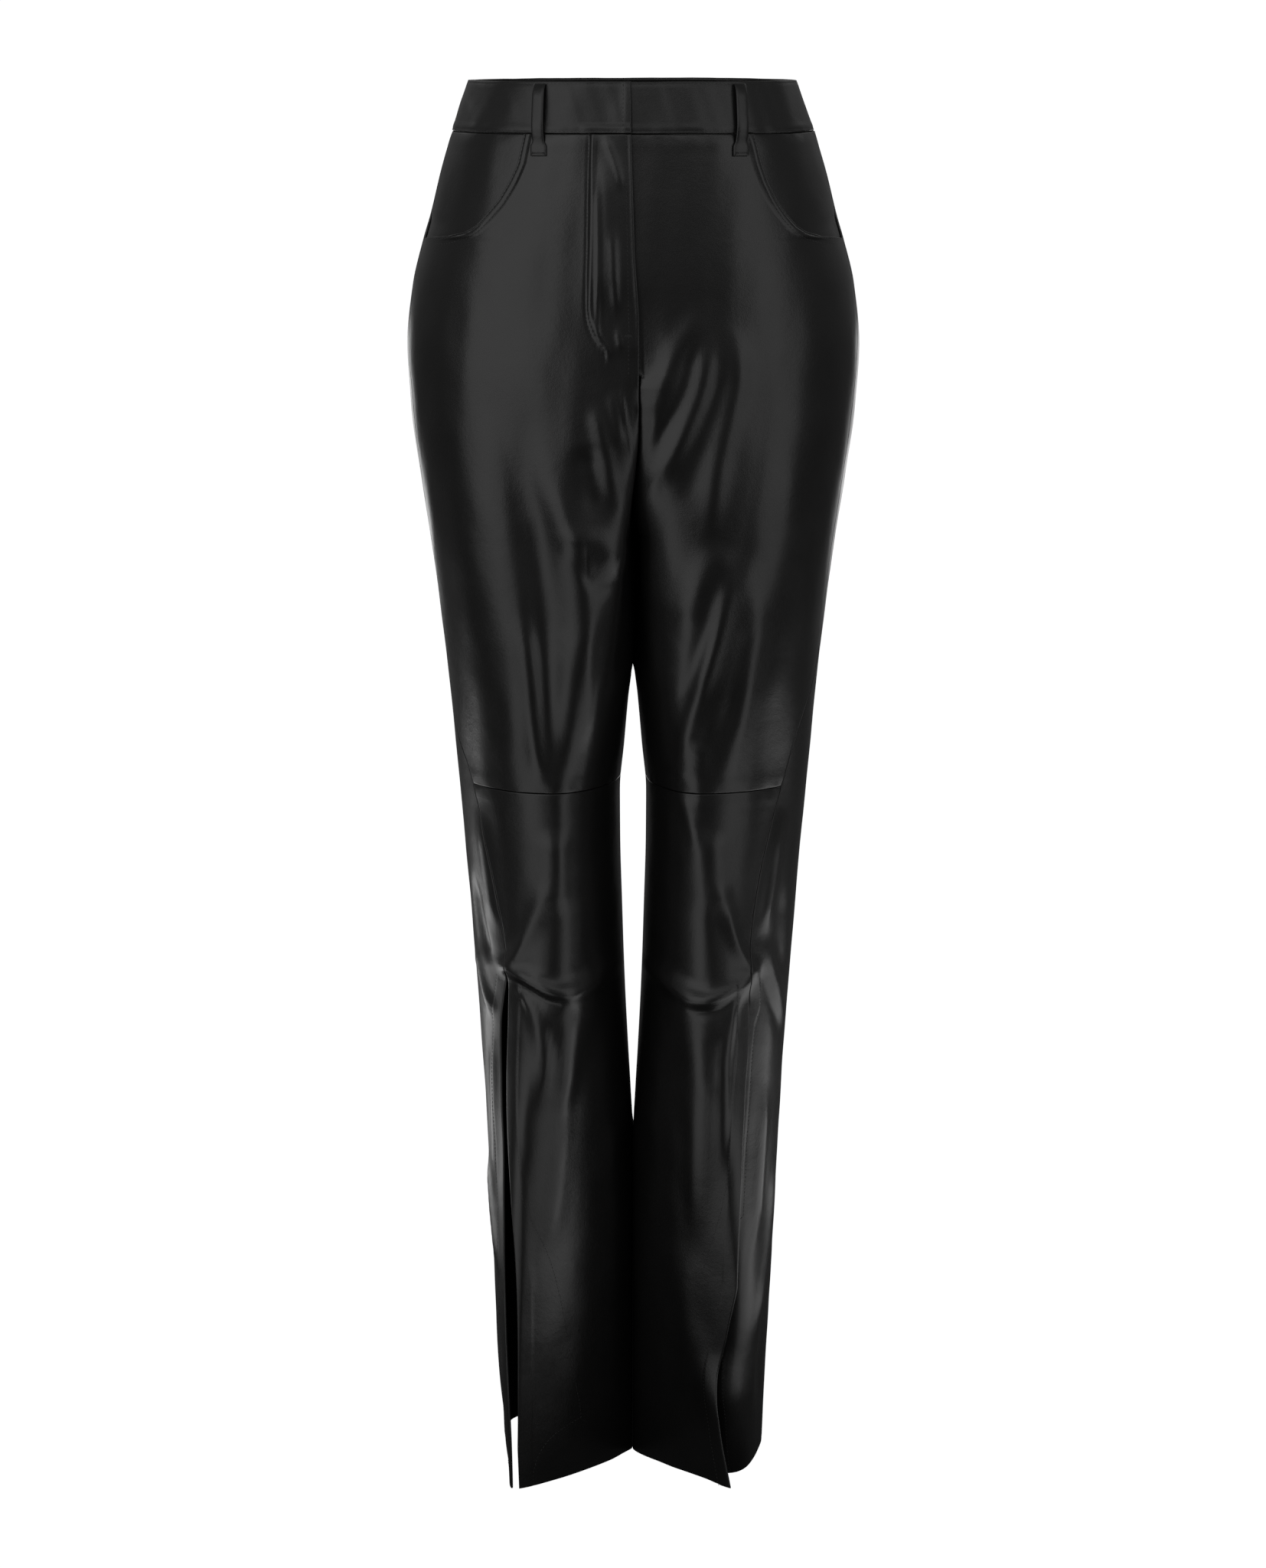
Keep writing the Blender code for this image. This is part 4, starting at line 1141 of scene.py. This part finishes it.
# %% The five belt loops
LOOPS = [  # name, half, share, and lean as share for each metre down
    ("front_right", RIGHT, .222, -.38), ("front_left", LEFT, .249, -.43),
    ("side_right", RIGHT, .680, .30), ("side_left", LEFT, .680, .30), ("back", LEFT, 1.0, 0.0)]
LOOP_HALF_WIDTH, TAB_HALF_WIDTH, LOOP_WALL = .0046, .0062, .0020
TAB_TOP, TAB_BLEND = -.0435, .0035       # below this height the loop widens into its tab
LOOP_PUFF, TAB_FLAT = 1.35, .25          # how puffed the strip is, and how much flatter its tab
LOOP_CORNER, END_SHARP = .0009, .15      # the ends round off over this length, down to this part
loop_gap = curve((-.0540, .0004), (-.0450, .0004), (-.0380, .0026), (-.0290, .0034), (-.0120, .0034),
                 (-.0060, .0026), (-.0020, .0008))
LOOP_TOP, LOOP_FOOT, LOOP_ROUND = -.0020, -.0540, 28     # ends, and points round the strip


def loop_frame(side, share, lean, z):
    """Middle of the loop at height z, with its outward and sideways directions."""
    share = share + lean * (-z - BAND_HEIGHT / 2)
    foot = form(side, share, z)
    normal = outward(side, min(share, LAST_SHARE), z)
    if share >= 1:
        foot, normal = np.array([0.0, foot[1], foot[2]]), np.array([0.0, 1.0, 0.0])
    return foot, normal, unit(np.cross(normal, [0.0, 0.0, 1.0]))


def belt_loop(name, side, share, lean):
    rings = []
    down = LOOP_TOP + (LOOP_FOOT - LOOP_TOP) * crowded(LOOP_TOP - LOOP_FOOT, .0015,
                                                       NEAR_EDGE[:5], NEAR_EDGE[:5])
    angles = np.linspace(0, 2 * math.pi, LOOP_ROUND, endpoint=False)
    crown = np.abs(np.sin(angles)) ** .8 * np.sign(np.sin(angles))
    width = np.abs(np.cos(angles)) ** .7 * np.sign(np.cos(angles))
    for z in down:
        foot, normal, sideways = loop_frame(side, share, lean, z)
        tab = float(ease((TAB_TOP - z) / TAB_BLEND))
        half = LOOP_HALF_WIDTH + (TAB_HALF_WIDTH - LOOP_HALF_WIDTH) * tab
        puff = LOOP_WALL / 2 * (LOOP_PUFF - TAB_FLAT * tab)
        from_end = min(min(LOOP_TOP - z, z - LOOP_FOOT) / LOOP_CORNER, 1)
        close = max(math.sqrt(1 - (1 - from_end) ** 2), END_SHARP)
        floor = loop_gap(z) + (BAND_PROUD if z > -BAND_HEIGHT else 0.0)
        rings.append(foot + normal * (floor + puff + puff * crown * close)[:, None]
                     + sideways * (width * (half - .0004 * (1 - close)))[:, None])
    return tube("belt_loop_" + name + "_strap", rings, band_leather)


for name, side, share, lean in LOOPS:
    made["belt_loop_" + name] = belt_loop(name, side, share, lean)
print("each belt loop", len(made["belt_loop_back"].data.polygons) * 2, "triangles")

# %% [markdown]
# ## Stitches
# Black thread shows as short raised dashes beside the fly, the pockets, the waistband's edges and the
# slits. A bump texture could paint them, but they would be lost in the gloss. Geometry Nodes lay one
# small faceted dash after another along lines that lie on the leather, so the pitch is one number
# and each stitch is a real shape.

# %% A node tree that lays stitches along lines
def stitch_tree():
    tree = bpy.data.node_groups.new("stitches_along_lines", "GeometryNodeTree")
    tree.interface.new_socket("Geometry", in_out="INPUT", socket_type="NodeSocketGeometry")
    for size in ("Pitch", "Length", "Thickness"):
        tree.interface.new_socket(size, in_out="INPUT", socket_type="NodeSocketFloat")
    tree.interface.new_socket("Thread", in_out="INPUT", socket_type="NodeSocketMaterial")
    tree.interface.new_socket("Geometry", in_out="OUTPUT", socket_type="NodeSocketGeometry")

    def add(kind, inputs=(), **settings):
        return add_node(tree, kind, inputs, **settings).outputs[0]

    given = add_node(tree, "NodeGroupInput").outputs
    lines = add("GeometryNodeMeshToCurve", {"Mesh": given["Geometry"]})
    spaced = add("GeometryNodeResampleCurve", {"Curve": lines, "Length": given["Pitch"]}, mode="LENGTH")
    along = add("GeometryNodeInputTangent")
    up = add("GeometryNodeInputNamedAttribute", {"Name": "up"}, data_type="FLOAT_VECTOR")
    turn = add("FunctionNodeAlignRotationToVector", {"Vector": along}, axis="X")
    turn = add("FunctionNodeAlignRotationToVector", {"Rotation": turn, "Vector": up}, axis="Z",
               pivot_axis="X")
    half_length = add("ShaderNodeMath", {0: given["Length"], 1: .5}, operation="MULTIPLY")
    half_thick = add("ShaderNodeMath", {0: given["Thickness"], 1: .5}, operation="MULTIPLY")
    size = add("ShaderNodeCombineXYZ", {0: half_length, 1: half_thick, 2: half_thick})
    by_hand = add("FunctionNodeRandomValue", {0: (.88, .85, .85), 1: (1.04, 1.1, 1.1), "Seed": 5},
                  data_type="FLOAT_VECTOR")
    size = add("ShaderNodeVectorMath", {0: size, 1: by_hand}, operation="MULTIPLY")
    dash = add("GeometryNodeMeshUVSphere", {"Segments": 6, "Rings": 4, "Radius": 1.0})
    laid = add("GeometryNodeInstanceOnPoints", {"Points": spaced, "Instance": dash, "Rotation": turn,
                                                "Scale": size})
    real = add("GeometryNodeRealizeInstances", {0: laid})
    thready = add("GeometryNodeSetMaterial", {"Geometry": real, "Material": given["Thread"]})
    add_node(tree, "NodeGroupOutput", {0: thready})
    return tree


stitches_along_lines = stitch_tree()
print("stitch tree nodes:", len(stitches_along_lines.nodes))

# %% Sewing
def sew(name, rows, pitch, length, thickness):
    """One plain mesh of all the stitches along rows, each a line of places with its normals."""
    points = np.vstack([places for places, _ in rows])
    ends = np.cumsum([len(places) for places, _ in rows])
    edges = [(i, i + 1) for i in range(len(points) - 1) if i + 1 not in ends]
    guide_mesh = bpy.data.meshes.new(name + "_guide")
    guide_mesh.from_pydata(points.tolist(), edges, [])
    up = guide_mesh.attributes.new("up", "FLOAT_VECTOR", "POINT")
    up.data.foreach_set("vector", np.vstack([normals for _, normals in rows]).astype(np.float32).ravel())
    guide = link(name + "_guide", guide_mesh)
    laying = guide.modifiers.new("stitches", "NODES")
    laying.node_group = stitches_along_lines
    sizes = {"Pitch": pitch, "Length": length, "Thickness": thickness, "Thread": thread}
    for item in stitches_along_lines.interface.items_tree:
        if item.in_out == "INPUT" and item.name in sizes:
            laying[item.identifier] = sizes[item.name]
    bpy.context.view_layer.update()
    graph = bpy.context.evaluated_depsgraph_get()
    mesh = bpy.data.meshes.new_from_object(guide.evaluated_get(graph))
    guide.modifiers.remove(laying)
    bpy.data.objects.remove(guide)
    mesh.name = name
    mesh.shade_smooth()
    print(name, len(mesh.polygons), "faces in", len(rows), "rows")
    return link(name, mesh)


# %% Lines at a distance from an edge
def beside(side, share, z, away, shape=form, towards=-1):
    """Places a distance away from a line of places, towards smaller (-1) or larger (+1) shares."""
    share, z = arrays(share, z)
    here, small = shape(side, share, z), .002
    by_share = (shape(side, share + small, z) - shape(side, share - small, z)) / (2 * small)
    by_z = (shape(side, share, z + small) - shape(side, share, z - small)) / (2 * small)
    along = unit(np.gradient(here, axis=0))
    step = unit(np.cross(outward(side, share, z, shape), along)) * away

    def dot(a, b):
        return (a * b).sum(-1)

    stretch = dot(by_share, by_share) * dot(by_z, by_z) - dot(by_share, by_z) ** 2
    share_part, z_part, mixed = dot(by_share, step), dot(by_z, step), dot(by_share, by_z)
    more_share = (dot(by_z, by_z) * share_part - mixed * z_part) / stretch
    more_z = (dot(by_share, by_share) * z_part - mixed * share_part) / stretch
    way = towards * np.sign(np.mean(more_share))
    return share + way * more_share, z + way * more_z


SUNK = -.00005                     # a stitch's middle lies just under the leather's surface


def on_panel(panel, share, z):
    places, normals = panel.place(share, z, SUNK)
    return pressed(places), normals


def on_right_front(places, count=60):
    x, z = smooth_path(places, count).T
    return on_panel(upper[RIGHT], share_at(RIGHT, x, z), z)


def on_band(length, z):
    outer, _, normals = band_skins(length, z)
    return outer + normals * SUNK, normals


# %% Rows of topstitching
FLY_EDGE_ROW = [(-.0050, -.0400), (-.0046, -.0900), (-.0038, -.1400), (-.0029, -.1830)]
FLY_END_ROW = [(-.0034, -.1850), (-.0033, -.1980), (-.0033, -.2110)]
rows = [on_right_front(FLY_CURVE, 160), on_right_front(FLY_EDGE_ROW), on_right_front(FLY_END_ROW)]
mouth_z = np.linspace(-.0385, -.1150, 240)
slit_z = np.linspace(SLIT_TOP - .008, HEM + .002, 120)
for side in (RIGHT, LEFT):
    for away in MOUTH_ROWS:
        share, z = beside(side, pocket[side](mouth_z), mouth_z, away)
        below = z < WAIST_SEAM - .0012               # the rows start just under the waistband
        rows.append(on_panel(upper[side], share[below], z[below]))
for side in (RIGHT, LEFT):
    share, z = beside(side, slit_front[side](slit_z), slit_z, FACING)
    rows.append(on_panel(lower[side], share, z))
    share, z = beside(side, slit_back[side](slit_z), slit_z, FACING, backs[side].shape, +1)
    rows.append(on_panel(backs[side], share, z))
band_run = np.linspace(.003, BAND_LENGTH - .002, 500)
rows += [on_band(band_run, -BAND_HEIGHT + LOWER_ROW), on_band(band_run, -UPPER_ROW),
         on_band(BAND_LENGTH - BAND_TURN, np.linspace(-.0030, -.0350, 40))]
stitches = sew("seam_stitches", rows, pitch=.0030, length=.0024, thickness=.00055)

# %% Bar tacks, where a short zigzag holds a strained spot
FLY_TACK, LOOP_TACK = -.1838, -.0520     # their heights


def zigzag(start, end, wide, count):
    """Places to and fro across a short bar from start to end, in two coordinates."""
    start, end = np.array(start), np.array(end)
    t = np.linspace(0, 1, count)[:, None]
    along = unit(end - start)
    across = np.array([-along[1], along[0]]) * wide / 2
    return start + (end - start) * t + across * np.where(np.arange(count) % 2, 1, -1)[:, None]


def on_loop(side, share, lean):
    places, normals = [], []
    for across, z in zigzag((-.0050, LOOP_TACK), (.0050, LOOP_TACK), .0014, 23):
        foot, normal, sideways = loop_frame(side, share, lean, z)
        places.append(foot + normal * (loop_gap(z) + LOOP_WALL * 1.10 + SUNK) + sideways * across)
        normals.append(normal)
    return np.array(places), np.array(normals)


x, z = zigzag((-.0062, FLY_TACK), (-.0008, FLY_TACK), .0016, 15).T
tacks = [on_panel(upper[RIGHT], share_at(RIGHT, x, z), z)]
tacks += [on_loop(side, share, lean) for _, side, share, lean in LOOPS]
bar_tacks = sew("bar_tacks", tacks, pitch=.0007, length=.0010, thickness=.00040)

# %% [markdown]
# ## Studio light
# Two tall softboxes stand left and right of the camera, so the middle of each leg stays dark between
# two broad highlights, and one hangs above it. Panels on the floor light the lower legs from the
# sides. Two narrow softboxes behind draw a thin rim, and two high ones light the back. Each is as
# bright as it would look in a mirror.

# %% Softboxes and floor panels
def area_light(name, azimuth, distance, z, size, brightness):
    """A light at a distance from the middle. Azimuth 0 is at the camera, and +90 is at -X."""
    turn = math.radians(azimuth)
    data = bpy.data.lights.new(name, "AREA")
    data.shape, data.size, data.size_y = "RECTANGLE", *size
    data.energy = brightness * math.pi * data.size * data.size_y
    light = link(name, data)
    light.location = (-distance * math.sin(turn), -distance * math.cos(turn), z)
    light.visible_camera = False
    return light, turn


def softbox(name, azimuth, spread, heights, distance, brightness):
    """An upright light that faces the middle and is spread degrees wide from there."""
    low, high = heights
    size = 2 * distance * math.tan(math.radians(spread / 2)), high - low
    light, turn = area_light(name, azimuth, distance, (low + high) / 2, size, brightness)
    towards = Vector((math.sin(turn), math.cos(turn), 0))
    light.rotation_euler = towards.to_track_quat("-Z", "Y").to_euler()


def floor_panel(name, azimuth, distance, size, brightness):
    """A light lying on the floor, size[0] wide and size[1] long as seen from the middle."""
    light, turn = area_light(name, azimuth, distance, lowest + .01, size, brightness)
    light.rotation_euler = (math.pi, 0, -turn)


softbox("key", 40, 50, (-1.05, 1.3), 2.6, .86)
softbox("fill", -46, 28, (-1.05, 1.3), 2.6, .72)
softbox("overhead", 0, 60, (.80, 2.3), 2.6, .62)
for name, azimuth, *rest in [("rim", 158, 16, (-.85, -.35), 3.0, 1.8), ("back", 135, 44, (.8, 2.1), 2.8, .5)]:
    softbox(name + "_left", azimuth, *rest)
    softbox(name + "_right", -azimuth, *rest)
floor_panel("floor_key", 40, 1.45, (.85, 1.9), .80)
floor_panel("floor_fill", -46, 1.44, (.62, 1.96), .75)
floor_panel("floor_hem", -78, .54, (.50, .52), .80)
floor_panel("floor_left", 124, 1.30, (1.0, 1.0), 1.5)
floor_panel("floor_right", -100, 1.04, (.9, .9), 1.10)
print(len(bpy.data.lights), "lights")

# %% A dim room, darker towards the floor
world = bpy.data.worlds.new("studio")
bpy.context.scene.world = world
world.use_nodes = True
room = world.node_tree
direction = add_node(room, "ShaderNodeTexCoord").outputs["Generated"]
upward = add_node(room, "ShaderNodeSeparateXYZ", {0: direction}).outputs["Z"]
dimness = add_node(room, "ShaderNodeMapRange", {"Value": upward, "From Min": -.36, "From Max": .14,
                                                "To Min": .015, "To Max": .16}).outputs[0]
fill(room, room.nodes["Background"], {"Color": (1, 1, 1, 1), "Strength": dimness})
print("room:", world.name)

# %% Ride and replace
for node, piece in made.items():
    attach(piece, "root")
    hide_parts(node)
for piece in (stitches, bar_tacks):
    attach(piece, "root")
